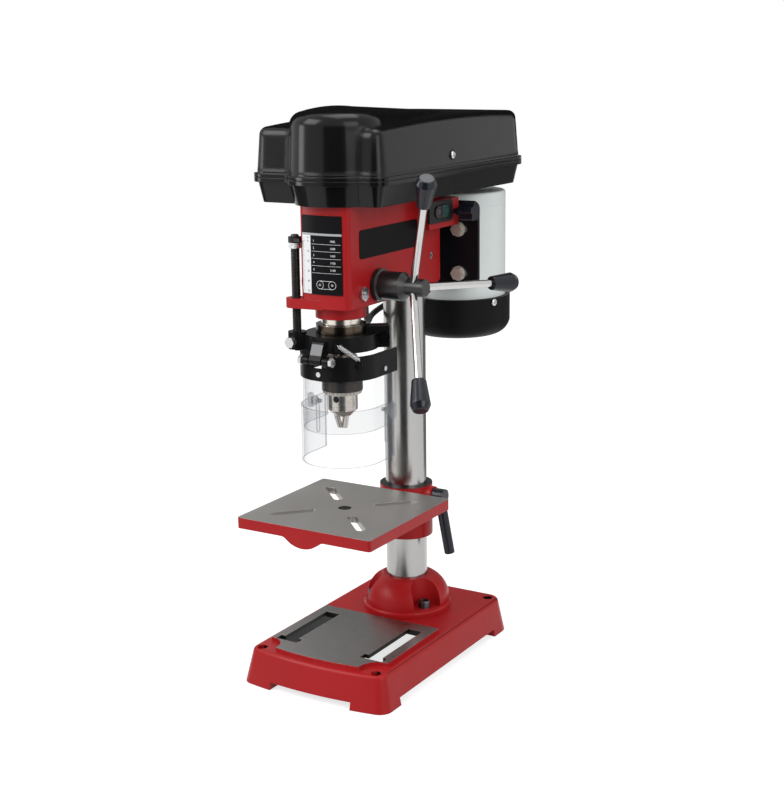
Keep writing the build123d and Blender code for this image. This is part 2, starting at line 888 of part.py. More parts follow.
def chuck_body():
    bore = jaw_spread + 2 * jaw_radius
    body_radius = sleeve_bore - running
    cone = 0.55 * chuck_radius
    points = [
        (bore - 2, chuck_nose),
        (cone, chuck_nose),
        (chuck_radius, chuck_shoulder),
        (chuck_radius, sleeve_bottom),
        (body_radius, sleeve_bottom),
        (body_radius, sleeve_top),
        (body_radius - 1, chuck_top),
        (taper_radius + running, chuck_top),
        (taper_radius - 0.05 * taper_depth + running, chuck_top - taper_depth),
        (bore - 2, chuck_top - taper_depth),
    ]
    body = turned(points, 0, spindle_y)
    for angle in jaw_places():
        top = chuck_top - taper_depth - 2
        body -= between(jaw_radius + running, jaw_axis(angle, jaw_tip), jaw_axis(angle, top))
        hole = crosswise(key_hole / 2, chuck_radius - 4, chuck_radius + 2, 0, key_hole_height)
        body -= Pos(0, spindle_y, 0) * Rot(0, 0, angle + 60) * hole
    return body


def chuck_sleeve():
    lip = sleeve_bottom + sleeve_lip
    groove_top = sleeve_top - sleeve_lip - 2
    points = [
        (sleeve_bore, sleeve_bottom),
        (sleeve_radius - 1.4, sleeve_bottom),
        (sleeve_radius, lip),
        (sleeve_radius, sleeve_top - 1),
        (sleeve_radius - 1, sleeve_top),
        (sleeve_bore, sleeve_top),
        (sleeve_bore, groove_top),
        (sleeve_relief, groove_top - 1),
        (sleeve_relief, lip + 1),
        (sleeve_bore, lip),
    ]
    body = turned(points, 0, spindle_y)
    for n in range(sleeve_teeth):
        a = 2 * math.pi * n / sleeve_teeth
        x = (sleeve_radius - 0.6) * math.cos(a)
        y = spindle_y + (sleeve_radius - 0.6) * math.sin(a)
        body -= upright(1.25, sleeve_bottom - 1, lip - 0.4, x, y)
    return body


save("chuck_body", chuck_body())
save("chuck_sleeve", chuck_sleeve())
for number, place in enumerate(jaw_places(), 1):
    save(f"chuck_jaw_{number}", jaw(place))


# Feed shaft with its pinion, hub, levers and knobs
def pinion_face():
    pitch_angle = math.radians(pressure_angle)
    base = pitch_radius * math.cos(pitch_angle)
    tip = pitch_radius + tooth_addendum * pinion_module
    root = pitch_radius - (tooth_dedendum + 0.15) * pinion_module
    half = (math.pi * pinion_module / 2 - tooth_backlash) / (2 * pitch_radius)
    involute = math.tan(pitch_angle) - pitch_angle
    steps = 5
    flank = [(root, half + involute)]
    for n in range(steps + 1):
        radius = base + (tip - base) * n / steps
        turn = math.acos(min(1, base / radius))
        flank.append((radius, half + involute - (math.tan(turn) - turn)))
    points = []
    for n in range(pinion_teeth):
        middle = math.pi + 2 * math.pi * n / pinion_teeth
        rising = [(r, middle - a) for r, a in flank]
        falling = [(r, middle + a) for r, a in reversed(flank)]
        points += [(r * math.cos(a), r * math.sin(a)) for r, a in rising + falling]
    return make_face(Polyline(*points, close=True))


def feed_shaft():
    end = head_half + gap + hub_length - 3
    neck = feed_neck - 1
    half = pinion_width / 2
    cap_end = -head_half - cap_depth + cap_wall + 1
    points = [
        (cap_end, 0),
        (cap_end, feed_end),
        (-head_half, feed_end),
        (-head_half, feed_neck),
        (-head_half / 2 - 1, feed_neck),
        (-head_half / 2 - 1, neck),
        (head_half / 2 + 1, neck),
        (head_half / 2 + 1, feed_journal),
        (head_half + gap, feed_journal),
        (head_half + gap, feed_neck),
        (end, feed_neck),
        (end, 0),
    ]
    shaft = turned_across(points, feed_y, feed_z)
    plane = Plane(origin=(-half, feed_y, feed_z), x_dir=(0, 1, 0), z_dir=(1, 0, 0))
    return shaft + extrude(plane * pinion_face(), pinion_width)


def lever_direction(n):
    cone = math.radians(lever_cone)
    a = math.radians(lever_first + 120 * n)
    return Vector(math.sin(cone), math.cos(cone) * math.sin(a), math.cos(cone) * math.cos(a))


def lever_point(n, reach):
    return Vector(lever_root, feed_y, feed_z) + lever_direction(n) * reach


def lever_rod_piece(n, start, end, radius):
    return between(radius, lever_point(n, start), lever_point(n, end))


def feed_hub():
    near = head_half + gap
    step = near + hub_length
    points = [
        (near, feed_neck + running),
        (near, hub_flange),
        (near + 5, hub_flange),
        (near + 6, hub_radius),
        (step - 4, hub_radius),
        (step, hub_nose + 1.5),
        (step + 1.5, hub_nose),
        (hub_end - 1.5, hub_nose),
        (hub_end, hub_nose - 1.5),
        (hub_end, 0),
        (step - 2.5, 0),
        (step - 2.5, feed_neck + running),
    ]
    hub = turned_across(points, feed_y, feed_z)
    for n in range(3):
        hub -= lever_rod_piece(n, 0.68 * lever_rod, 30, lever_rod / 2 + running)
    return hub


def feed_levers():
    rods = Part()
    for n in range(3):
        rods += lever_rod_piece(n, 0.7 * lever_rod, lever_reach - 0.55 * grip_length, lever_rod / 2)
    return rods


def feed_knobs():
    grips = Part()
    half = grip_length / 2
    points = [
        (0, 0),
        (grip_small - 1.5, 0),
        (grip_small, 1.5),
        (grip_large, 0.75 * grip_length),
        (grip_large - 2.5, grip_length - 1),
        (grip_large - 4, grip_length),
        (0, grip_length),
    ]
    grip = revolve(Plane.XZ * make_face(Polyline(*points, close=True)), Axis.Z)
    grip -= Pos(0, 0, -1) * Cylinder(lever_rod / 2 + running, half + 1, align=middle_low)
    for n in range(3):
        place = lever_point(n, lever_reach - grip_length)
        grips += Plane(origin=place, z_dir=lever_direction(n)) * grip
    return grips


save("feed_shaft", feed_shaft())
save("feed_hub", feed_hub())
save("feed_levers", feed_levers())
save("feed_knobs", feed_knobs())


# Return spring and its cap on the left of the head
def half_ring(middle, radius, start):
    ring = Pos(middle, 0) * (Circle(radius + spring_strip / 2) - Circle(radius - spring_strip / 2))
    side = 1 if start == 0 else -1
    return ring & Pos(middle, side * 2 * cap_radius) * Rectangle(4 * cap_radius, 4 * cap_radius)


def return_spring():
    # a flat spiral of half turns from the shaft out to the cap's wall
    radius = feed_end + spring_strip / 2 + running
    outer = cap_radius - cap_wall - gap - spring_strip / 2
    step = (outer - radius) / (2 * spring_turns)
    middle = 0.0
    strip = Sketch()
    for n in range(2 * spring_turns):
        strip += half_ring(middle, radius, n % 2)
        middle += step * (1 if n % 2 else -1)
        radius += step
    start = -head_half - 2 - spring_width
    plane = Plane(origin=(start, feed_y, feed_z), x_dir=(0, 1, 0), z_dir=(1, 0, 0))
    return extrude(plane * strip, spring_width)


def spring_cap():
    left = -head_half - cap_depth
    cap = crosswise(cap_radius, left, -head_half, feed_y, feed_z)
    cap = fillet(cap.edges().group_by(Axis.X)[0], 2)
    cap -= crosswise(cap_radius - cap_wall, left + cap_wall, 0, feed_y, feed_z)
    return cap


save("return_spring", return_spring())
save("spring_cap", spring_cap())


# Depth rod, stop nut and pointer
def depth_pointer():
    low = stop_nut_low + stop_nut_height + gap
    ring = upright(rod_radius + 2, low, low + pointer_height, rod_x, rod_y)
    tip = (rod_x + 11.5, rod_y - 8.5)
    blade = make_face(Polyline((rod_x - 5, rod_y - 4.5), tip, (rod_x + 4, rod_y + 1.5), close=True))
    ring += extrude(Pos(0, 0, low + 1) * blade, pointer_height - 2)
    return ring - upright(rod_radius + running, low - 1, low + pointer_height + 1, rod_x, rod_y)


def stop_nut():
    nut = Pos(rod_x, rod_y, stop_nut_low) * hexagon(stop_nut_size, stop_nut_height)
    return nut - upright(rod_radius + running, stop_nut_low - 1, rod_top, rod_x, rod_y)


save("depth_rod", upright(rod_radius, holder_low - 2, rod_top, rod_x, rod_y))
save("depth_pointer", depth_pointer())
save("depth_stop_nut", stop_nut())


# Chuck guard
def u_face(outer, inner, back, height):
    ring = Circle(outer) - Circle(inner)
    ring &= Pos(0, -outer) * Rectangle(2 * outer, 2 * outer)
    wall = outer - inner
    for sx in (-1, 1):
        ring += Pos(sx * (outer - wall / 2), back / 2) * Rectangle(wall, back)
    return Pos(0, spindle_y, height) * ring


hook_holder = (21.0, spindle_y - 39.5, 371.0)
hook_band = (39.0, spindle_y - 27.0, 355.0)


def hook_post(hook, along):
    # a small upright post just past the end of the guard spring
    axis = (Vector(*hook_band) - Vector(*hook_holder)).normalized()
    place = Vector(*hook) + axis * along
    return upright(1, hook[2] - spring_coil - 3, hook[2] + 2, place.X, place.Y)


def guard_holder():
    middle_z = (holder_low + holder_high) / 2
    height = holder_high - holder_low
    body = upright(holder_radius, holder_low, holder_high, 0, spindle_y)
    arm_angle = math.degrees(math.atan2(rod_y - spindle_y, rod_x))
    arm_length = math.hypot(rod_x, rod_y - spindle_y)
    arm = Pos(arm_length / 2, 0, middle_z) * Box(arm_length, 1.7 * lug_radius, height - 2)
    body += Pos(0, spindle_y, 0) * Rot(0, 0, arm_angle) * arm
    body += upright(0.9 * lug_radius, holder_low, holder_high + 2, rod_x, rod_y)
    ear = Box(ear_reach - 16, ear_width, height + ear_rise)
    ear = Pos(ear_reach / 2 + 8, 0, middle_z + ear_rise / 2) * ear
    body += Pos(0, spindle_y, 0) * Rot(0, 0, ear_angle) * ear
    tab = [
        (spindle_y - holder_radius + 3, holder_high - 2),
        (spindle_y - holder_radius - 5, holder_high - 4),
        (pin_y - knuckle_radius, pin_height),
        (pin_y, pin_height - knuckle_radius),
        (pin_y + knuckle_radius, pin_height),
        (spindle_y - holder_radius + 3, holder_low),
    ]
    body += side_prism(tab, -knuckle_half, knuckle_half)
    body += crosswise(knuckle_radius, -knuckle_half, knuckle_half, pin_y, pin_height)
    hook_angle = math.degrees(math.atan2(hook_holder[1] - spindle_y, hook_holder[0]))
    hook = Pos(holder_radius, 0, hook_holder[2] - spring_coil - 4.6) * Box(16, 5, 4)
    body += Pos(0, spindle_y, 0) * Rot(0, 0, hook_angle) * hook
    body += hook_post(hook_holder, -2.1)
    body -= upright(quill_spigot + running, holder_low - 1, holder_high + 1, 0, spindle_y)
    body -= upright(quill_flange + gap, holder_high, holder_high + 20, 0, spindle_y)
    slit = Pos(ear_reach / 2 + 12, 0, middle_z) * Box(ear_reach, ear_slit, 3 * height)
    body -= Pos(0, spindle_y, 0) * Rot(0, 0, ear_angle) * slit
    body -= clamp_screw_solid(running)
    body -= upright(rod_radius + running, 0, rod_top, rod_x, rod_y)
    body -= lengthwise(3 + running, rod_y - 2 * lug_radius, rod_y, rod_x, middle_z)
    body -= crosswise(pin_radius + running, -2 * knuckle_half, 2 * knuckle_half, pin_y, pin_height)
    return body


def clamp_screw_solid(grow):
    out = ear_reach - 5.5
    middle_z = (holder_low + holder_high) / 2 + ear_rise / 2
    shank = Pos(out, 0, middle_z) * Rot(90, 0, 0) * Cylinder(3 + grow, ear_width + 8 + 2 * grow)
    return Pos(0, spindle_y, 0) * Rot(0, 0, ear_angle) * shank


def guard_clamp_screws():
    middle_z = (holder_low + holder_high) / 2
    out = ear_reach - 5.5
    head = Pos(out, -ear_width / 2, middle_z + ear_rise / 2) * Rot(90, 0, 0) * hexagon(10, 4)
    ears = clamp_screw_solid(0) + Pos(0, spindle_y, 0) * Rot(0, 0, ear_angle) * head
    front = rod_y - rod_radius - running
    face = rod_y - 0.9 * lug_radius
    block_screw = lengthwise(3, face - 2, front, rod_x, middle_z)
    block_screw += Pos(rod_x, face, middle_z) * Rot(90, 0, 0) * hexagon(10, 6)
    return ears + block_screw


def guard_band():
    body = extrude(u_face(band_radius, band_radius - band_wall, band_back, band_low), band_high - band_low)
    side = knuckle_half + 1.5
    body -= block(-side, side, pin_y - 10, spindle_y - guard_radius + 10, upper_high + 1, band_high + 1)
    for sx in (-1, 1):
        inner = sx * side
        outer = sx * (side + 6.5)
        left, right = min(inner, outer), max(inner, outer)
        ear = crosswise(knuckle_radius, left, right, pin_y, pin_height)
        ear += block(left, right, pin_y, spindle_y - band_radius + 4, pin_height - knuckle_radius, band_high)
        body += ear - upright(band_radius - band_wall, band_low, band_high + 1, 0, spindle_y)
    body -= crosswise(pin_radius + running, -30, 30, pin_y, pin_height)
    hook_angle = math.degrees(math.atan2(hook_band[1] - spindle_y, hook_band[0]))
    hook = Pos(band_radius + 3, 0, hook_band[2] - spring_coil - 4.6) * Box(9, 4, 4)
    hook = Pos(0, spindle_y, 0) * Rot(0, 0, hook_angle) * hook
    body += hook - upright(band_radius - 0.5, band_low, band_high + 1, 0, spindle_y)
    body += hook_post(hook_band, 2.1)
    for place in rivet_places():
        body -= rivet(place, running, 20)
    return body


def rivet_places():
    # the angle round the spindle for the front rivet, and the two sides' rivets
    height = (band_low + upper_high) / 2 + 1
    return [((0, spindle_y - band_radius, height), (0, 1, 0))] + [
        ((sx * band_radius, spindle_y + 14, height), (-sx, 0, 0)) for sx in (-1, 1)
    ]


def rivet(place, grow, length):
    point, inward = place
    start = Vector(*point) - Vector(*inward) * 1.0
    return between(1.6 + grow, start, start + Vector(*inward) * length)


def guard_pins():
    side = knuckle_half + 9.5
    pin = crosswise(pin_radius, -side, side, pin_y, pin_height)
    for start in (-side - 3.5, side):
        pin += Pos(start, pin_y, pin_height) * Rot(0, 90, 0) * hexagon(8.5, 3.5)
    for place in rivet_places():
        point, inward = place
        start = Vector(*point) - Vector(*inward) * 1.4
        button_head = between(2.6, start, Vector(*point) - Vector(*inward) * 0.02)
        shank_end = Vector(*point) + Vector(*inward) * (band_wall + guard_wall + 1.2)
        pin += button_head + between(1.6, start, shank_end)
    return pin


def guard_upper():
    inner = guard_radius - guard_wall
    body = extrude(u_face(guard_radius, inner, guard_back, upper_low), upper_high - upper_low)
    for place in rivet_places():
        body -= rivet(place, running, 20)
    hole = wing_screw / 2 + running
    return body - crosswise(hole, -60, 60, spindle_y + wing_back, wing_height)


def guard_lower():
    body = extrude(u_face(lower_outer, lower_inner, guard_back, lower_low), lower_high - lower_low)
    half = wing_screw / 2 + gap
    low = wing_height - lower_travel - half - 2
    high = wing_height + half
    for sx in (-1, 1):
        y = spindle_y + wing_back
        left, right = sorted((sx * (lower_inner - 3), sx * (lower_outer + 3)))
        body -= block(left, right, y - half, y + half, low + half, high - half)
        for z in (low + half, high - half):
            body -= crosswise(half, left, right, y, z)
    return body


def guard_wing_screws():
    screws = Part()
    y = spindle_y + wing_back
    for sx in (-1, 1):
        inner = sx * (guard_radius - guard_wall - 1.5)
        face = sx * (lower_outer + gap)
        rim = sx * (lower_outer + 4)
        tip = sx * (lower_outer + 11)
        screws += crosswise(wing_screw / 2, min(inner, rim), max(inner, rim), y, wing_height)
        screws += crosswise(5, min(face, rim), max(face, rim), y, wing_height)
        wing = block(min(rim, tip), max(rim, tip), y - 1.2, y + 1.2, wing_height - 8, wing_height + 8)
        screws += fillet(wing.edges().filter_by(Axis.Y), 2.5)
    return screws


# Guard spring: an open coil on a slanted axis, swept along pairs of arcs
def two_arcs(start, start_way, end, end_way):
    line = end - start
    both = start_way + end_way
    bend = 2 * (1 - start_way.dot(end_way))
    half = (-line.dot(both) + math.sqrt(line.dot(both) ** 2 + bend * line.dot(line))) / bend
    first = start + start_way * half
    last = end - end_way * half
    joint = (first + last) / 2
    way = (last - first).normalized()
    return [
        TangentArc(start, joint, tangent=start_way),
        TangentArc(joint, end, tangent=way),
    ]


def guard_spring():
    start = Vector(*hook_holder)
    end = Vector(*hook_band)
    axis = (end - start).normalized()
    across = axis.cross(Vector(0, 0, 1)).normalized()
    over = axis.cross(across)
    length = (end - start).length
    lead = 2 * spring_wire
    pitch = (length - 2 * lead) / spring_loops
    points, ways = [], []
    for n in range(4 * spring_loops + 1):
        a = math.pi / 2 * n
        point = start + axis * (lead + pitch * n / 4)
        points.append(point + (across * math.cos(a) + over * math.sin(a)) * spring_coil)
        way = (over * math.cos(a) - across * math.sin(a)) * spring_coil + axis * (pitch / (2 * math.pi))
        ways.append(way.normalized())
    edges = [Line(points[0] - ways[0] * 2 * spring_wire, points[0])]
    for n in range(len(points) - 1):
        edges += two_arcs(points[n], ways[n], points[n + 1], ways[n + 1])
    edges.append(Line(points[-1], points[-1] + ways[-1] * 2 * spring_wire))
    path = Wire(edges)
    profile = Plane(origin=path @ 0, z_dir=path % 0) * Circle(spring_wire / 2)
    coil = sweep(profile, path=path)
    ratio = coil.volume / (math.pi * spring_wire**2 / 4 * path.length)
    print("guard spring: gap between turns", round(pitch - spring_wire, 2))
    print("guard spring: volume over section times length", round(ratio, 4))
    return coil


save("guard_holder", guard_holder())
save("guard_clamp_screws", guard_clamp_screws())
save("guard_band", guard_band())
save("guard_pins", guard_pins())
save("guard_upper", guard_upper())
save("guard_lower", guard_lower())
save("guard_wing_screws", guard_wing_screws())
save("guard_spring", guard_spring())


# Motor
def motor_rails():
    rails = Part()
    back = motor_plate_face + motor_plate_thickness
    for sx in (-1, 1):
        x = sx * motor_bolt_x
        rails += block(x - 9, x + 9, back, motor_y, motor_bolt_low - 12, motor_bolt_high + 12)
    return rails - upright(motor_radius - 1, 0, 1000, 0, motor_y)


def motor_body():
    inner = motor_radius - motor_wall
    body = upright(motor_radius, can_bottom, can_top, 0, motor_y) + motor_rails()
    entry = lengthwise(lead_diameter / 2 + 2.5, motor_entry_front(), motor_y, entry_x, entry_z)
    body += entry
    body -= upright(inner, can_bottom + 14, can_top + 1, 0, motor_y)
    body -= upright(lower_bearing_outer / 2 + running, can_bottom + 3, can_top, 0, motor_y)
    body -= upright(shaft_radius + 1, 0, can_top, 0, motor_y)
    body -= lengthwise(lead_diameter / 2 + seat, 0, motor_y - 40, entry_x, entry_z)
    back = motor_plate_face + motor_plate_thickness
    for sx in (-1, 1):
        for z in (motor_bolt_low, motor_bolt_high):
            body -= lengthwise(motor_bolt / 2 + seat, back - 1, back + 14, sx * motor_bolt_x, z)
    for angle in fan_screw_angles():
        body -= fan_screw(angle, 2 + running, motor_radius - 6, motor_radius + 20)
    return body


def motor_entry_front():
    return motor_y - math.sqrt(motor_radius**2 - entry_x**2) - 5


def motor_top_bell():
    bell = upright(motor_radius, can_top, bell_top, 0, motor_y)
    bell = fillet(bell.edges().group_by(Axis.Z)[-1], 3)
    hub = lower_bearing_outer / 2 + 4
    bell -= tube(motor_radius - motor_wall, hub, can_top - 1, bell_top - 3, 0, motor_y)
    bell -= upright(lower_bearing_outer / 2 + running, can_top - 1, bell_top - 3, 0, motor_y)
    return bell - upright(shaft_radius + 1, can_top, bell_top + 1, 0, motor_y)


def fan_screw_angles():
    return [-19 + 120 * n for n in range(3)]


def fan_screw(angle, radius, start, end):
    a = math.radians(angle)
    way = Vector(math.cos(a), math.sin(a), 0)
    middle = Vector(0, motor_y, fan_screw_height)
    return between(radius, middle + way * start, middle + way * end)


def fan_cover():
    wall = motor_wall
    ledge = fan_cover_top - wall
    waist = fan_cover_bottom + fan_cover_chamfer
    inner_flat = fan_cover_flat - 1
    outer = fan_cover_radius
    edges = [
        Line((0, fan_cover_bottom), (fan_cover_flat, fan_cover_bottom)),
        ThreePointArc(
            (fan_cover_flat, fan_cover_bottom),
            (fan_cover_flat + 0.68 * (outer - fan_cover_flat), fan_cover_bottom + 0.36 * fan_cover_chamfer),
            (outer, waist),
        ),
        Line((outer, waist), (outer, fan_cover_top)),
        Line((outer, fan_cover_top), (motor_radius + seat, fan_cover_top)),
        Line((motor_radius + seat, fan_cover_top), (motor_radius + seat, ledge)),
        Line((motor_radius + seat, ledge), (outer - wall, ledge)),
        Line((outer - wall, ledge), (outer - wall, waist)),
        Line((outer - wall, waist), (inner_flat, fan_cover_bottom + wall)),
        Line((inner_flat, fan_cover_bottom + wall), (0, fan_cover_bottom + wall)),
        Line((0, fan_cover_bottom + wall), (0, fan_cover_bottom)),
    ]
    body = Pos(0, motor_y, 0) * revolve(Plane.XZ * make_face(edges), Axis.Z)
    for n in range(8):
        vent = Box(0.6 * fan_cover_flat, 5, 3 * wall)
        vent = Pos(0.62 * fan_cover_flat, 0, fan_cover_bottom + wall / 2) * vent
        body -= Pos(0, motor_y, 0) * Rot(0, 0, 45 * n) * vent
    pad_half = 7
    for angle in fan_screw_angles():
        lug = Pos((motor_radius + outer) / 2 + 0.1, 0, fan_screw_height - 1) * Box(
            outer - motor_radius - 0.6, pad_half, fan_cover_top - can_bottom - 1
        )
        body += Pos(0, motor_y, 0) * Rot(0, 0, angle) * lug - upright(
            motor_radius + seat, 0, 1000, 0, motor_y
        )
        body -= fan_screw(angle, 2 + running, motor_radius - 6, motor_radius + 20)
    return body


def fan_cover_screws():
    screws = Part()
    for angle in fan_screw_angles():
        head = fan_screw(angle, 4, fan_cover_radius + 0.02, fan_cover_radius + 2.4)
        screws += head + fan_screw(angle, 2, motor_radius - 5, fan_cover_radius + 0.1)
    return screws


def stator_and_bearings():
    inner = motor_radius - motor_wall - seat
    stator = tube(inner, 30, can_bottom + 30, can_top - 15, 0, motor_y)
    low = bearing(lower_bearing_outer, 2 * shaft_radius, lower_bearing_width, can_bottom + 3, 0, motor_y)
    high_z = bell_top - 3 - lower_bearing_width
    high = bearing(lower_bearing_outer, 2 * shaft_radius, lower_bearing_width, high_z, 0, motor_y)
    return stator + low + high


def motor_rotor():
    fan_low = fan_cover_bottom + 8
    shaft = upright(shaft_radius - running, fan_low, pulley_bottom + 5 * step_height + 1, 0, motor_y)
    return shaft + upright(29, can_bottom + 30, can_top - 15, 0, motor_y)


def cooling_fan():
    fan_low = fan_cover_bottom + 8
    fan = tube(16, shaft_radius, fan_low + 2, fan_low + 22, 0, motor_y)
    fan += tube(46, 15, fan_low + 20, fan_low + 22, 0, motor_y)
    for n in range(6):
        blade = Pos(30, 0, fan_low + 12) * Box(30, 2.4, 20)
        fan += Pos(0, motor_y, 0) * Rot(0, 0, 60 * n) * blade
    return fan


def motor_plate():
    width = 2 * motor_plate_half
    height = motor_plate_high - motor_plate_low
    plan = RectangleRounded(width, height, 8)
    middle_z = (motor_plate_low + motor_plate_high) / 2
    for sx in (-1, 1):
        for z in (motor_bolt_low, motor_bolt_high):
            plan -= Pos(sx * motor_bolt_x, z - middle_z) * SlotOverall(2.6 * motor_bolt, motor_bolt + 1)
        plan -= Pos(sx * bar_x, bar_z - middle_z) * Circle(3 + running)
    back = motor_plate_face + motor_plate_thickness
    plane = Plane(origin=(0, back, middle_z), x_dir=(1, 0, 0), z_dir=(0, -1, 0))
    return extrude(plane * plan, motor_plate_thickness)


def motor_slide_bars():
    bars = Part()
    back = motor_plate_face + motor_plate_thickness
    for sx in (-1, 1):
        bars += lengthwise(bar_radius, bar_front, motor_plate_face, sx * bar_x, bar_z)
        bars += lengthwise(3, motor_plate_face - 1, back + 5, sx * bar_x, bar_z)
        bars += Pos(sx * bar_x, back + 4, bar_z) * Rot(90, 0, 0) * hexagon(10, 4)
    return bars


def motor_plate_bolts():
    bolts = Part()
    washer = 1.8
    face = motor_plate_face
    for sx in (-1, 1):
        for z in (motor_bolt_low, motor_bolt_high):
            x = sx * motor_bolt_x
            head = Pos(x, face - washer, z) * Rot(90, 0, 0) * hexagon(1.55 * motor_bolt, 0.65 * motor_bolt)
            ring = lengthwise(1.03 * motor_bolt, face - washer, face, x, z)
            shank = lengthwise(motor_bolt / 2, face - 0.1, face + motor_plate_thickness + 12, x, z)
            bolts += head + ring + shank
    return bolts


def tension_knob_piece():
    stem_end = side_boss_face + tension_stem
    end = stem_end + tension_knob_length
    screw = crosswise(3, bar_x + bar_radius + gap, stem_end + 0.5 * tension_knob_length, tension_y, bar_z)
    star = Circle(0.72 * tension_knob)
    for n in range(5):
        a = 2 * math.pi * n / 5 + 0.3
        out = 0.66 * tension_knob
        star += Pos(out * math.cos(a), out * math.sin(a)) * Circle(0.34 * tension_knob)
    plane = Plane(origin=(stem_end, tension_y, bar_z), x_dir=(0, 1, 0), z_dir=(1, 0, 0))
    knob = extrude(plane * star, tension_knob_length)
    knob += crosswise(0.5 * tension_knob, stem_end - 5, end, tension_y, bar_z)
    knob -= crosswise(3 + running, 0, stem_end + 0.5 * tension_knob_length + 0.1, tension_y, bar_z)
    return Compound(screw.solids() + knob.solids())


save("motor_body", motor_body())
save("motor_top_bell", motor_top_bell())
save("motor_fan_cover", fan_cover())
save("fan_cover_screws", fan_cover_screws())
save("stator_and_bearings", stator_and_bearings())
save("motor_rotor", motor_rotor())
save("cooling_fan", cooling_fan())
save("motor_plate", motor_plate())
save("motor_slide_bars", motor_slide_bars())
save("motor_plate_bolts", motor_plate_bolts())
save("belt_tension_knob", tension_knob_piece())


# Pulleys and belt
def stepped_pulley(radii, axis_y):
    lean = math.tan(math.radians(belt_angle))
    body = Part()
    for n, radius in enumerate(radii):
        low = pulley_bottom + n * step_height
        middle = low + step_height / 2
        rim = belt_width / 2 + belt_clear
        root = rim - (belt_depth + 1) * lean
        floor = radius - belt_depth - 1
        points = [
            (0, low),
            (radius, low),
            (radius, middle - rim),
            (floor, middle - root),
            (floor, middle + root),
            (radius, middle + rim),
            (radius, low + step_height),
            (0, low + step_height),
        ]
        body += turned(points, 0, axis_y)
    return body


def spindle_pulley():
    body = stepped_pulley(spindle_steps, spindle_y)
    body += upright(pulley_bearing_bore / 2 - running, sleeve_bearing_low, pulley_bottom + 1, 0, spindle_y)
    bore = upper_bearing_bore / 2
    key = spline_width - 2 * seat
    hole = upright(bore + running, sleeve_bearing_low - 1, pulley_bottom + 100, 0, spindle_y)
    hole -= spline_grooves(key, spline_depth - 2 * seat, 0, 1000, bore)
    return body - hole


def motor_pulley():
    body = stepped_pulley(motor_steps, motor_y)
    return body - upright(shaft_radius, 0, 1000, 0, motor_y)


def pulley_bearings():
    low = bearing(
        pulley_bearing_outer, pulley_bearing_bore, pulley_bearing_width, sleeve_bearing_low, 0, spindle_y
    )
    return low + Pos(0, 0, pulley_bearing_width + gap) * low


def drive_belt():
    near = spindle_steps[belt_step_count]
    far = motor_steps[belt_step_count]
    distance = motor_y - spindle_y
    lean = math.tan(math.radians(belt_angle))
    half = belt_width / 2
    slim = half - belt_depth * lean
    section = [(0, -half), (0, half), (-belt_depth, slim), (-belt_depth, -slim)]
    tilt = math.degrees(math.asin((near - far) / distance))

    def arc(radius, y, start, sweep_angle):
        face = make_face(Polyline(*[(radius + r, belt_height + z) for r, z in section], close=True))
        ring = revolve(Plane.XZ * face, Axis.Z, sweep_angle)
        return Pos(0, y, 0) * Rot(0, 0, start) * ring

    def run(side):
        a = math.radians(tilt)
        out = Vector(side * math.cos(a), math.sin(a), 0)
        start = Vector(0, spindle_y, belt_height) + out * near
        end = Vector(0, motor_y, belt_height) + out * far
        plane = Plane(origin=start, x_dir=out, z_dir=end - start)
        face = make_face(Polyline(*[(r, side * z) for r, z in section], close=True))
        return extrude(plane * face, (end - start).length)

    front = arc(near, spindle_y, 180 - tilt, 180 + 2 * tilt)
    back = arc(far, motor_y, tilt, 180 - 2 * tilt)
    return front + back + run(1) + run(-1)


save("spindle_pulley", spindle_pulley())
save("motor_pulley", motor_pulley())
save("pulley_bearings", pulley_bearings())
save("drive_belt", drive_belt())


# Belt cover
def cover_plan(grow, height):
    left = cover_left - grow
    right = cover_right + grow
    front = cover_front - grow
    rear = cover_rear + grow
    plan = Pos((left + right) / 2, (front + rear) / 2) * Rectangle(right - left, rear - front)
    plan = fillet(plan.vertices().group_by(Axis.Y)[0], cover_front_corner + grow)
    plan = fillet(plan.vertices().group_by(Axis.Y)[-1], cover_rear_corner + grow)
    return Pos(0, 0, height) * plan


def cover_block(low_grow, high_grow, low, high):
    box = loft([cover_plan(low_grow, low), cover_plan(high_grow, high)], ruled=True)
    low_r = cover_bulge + low_grow
    high_r = cover_bulge + high_grow
    bulge = turned([(0, low), (low_r, low), (high_r, high), (0, high)], 0, spindle_y)
    return box, bulge


def rim_ring(low, high, inner):
    outer = extrude(cover_plan(rim_out, low), high - low)
    outer += upright(cover_bulge + rim_out, low, high, 0, spindle_y)
    hole = extrude(cover_plan(inner, low - 1), high - low + 2)
    return outer - hole - upright(cover_bulge + inner, low - 1, high + 1, 0, spindle_y)


def hinge_line():
    return cover_left - rim_out - hinge_radius + 1.0


def hinge_knuckles(offset, low, high):
    knuckles = Part()
    x = hinge_line()
    for place in hinge_places:
        start = place + offset
        end = start + hinge_knuckle - gap
        knuckle = lengthwise(hinge_radius, start, end, x, rim_split)
        knuckle += block(x, cover_left, start, end, low, high)
        knuckles += knuckle
    return knuckles


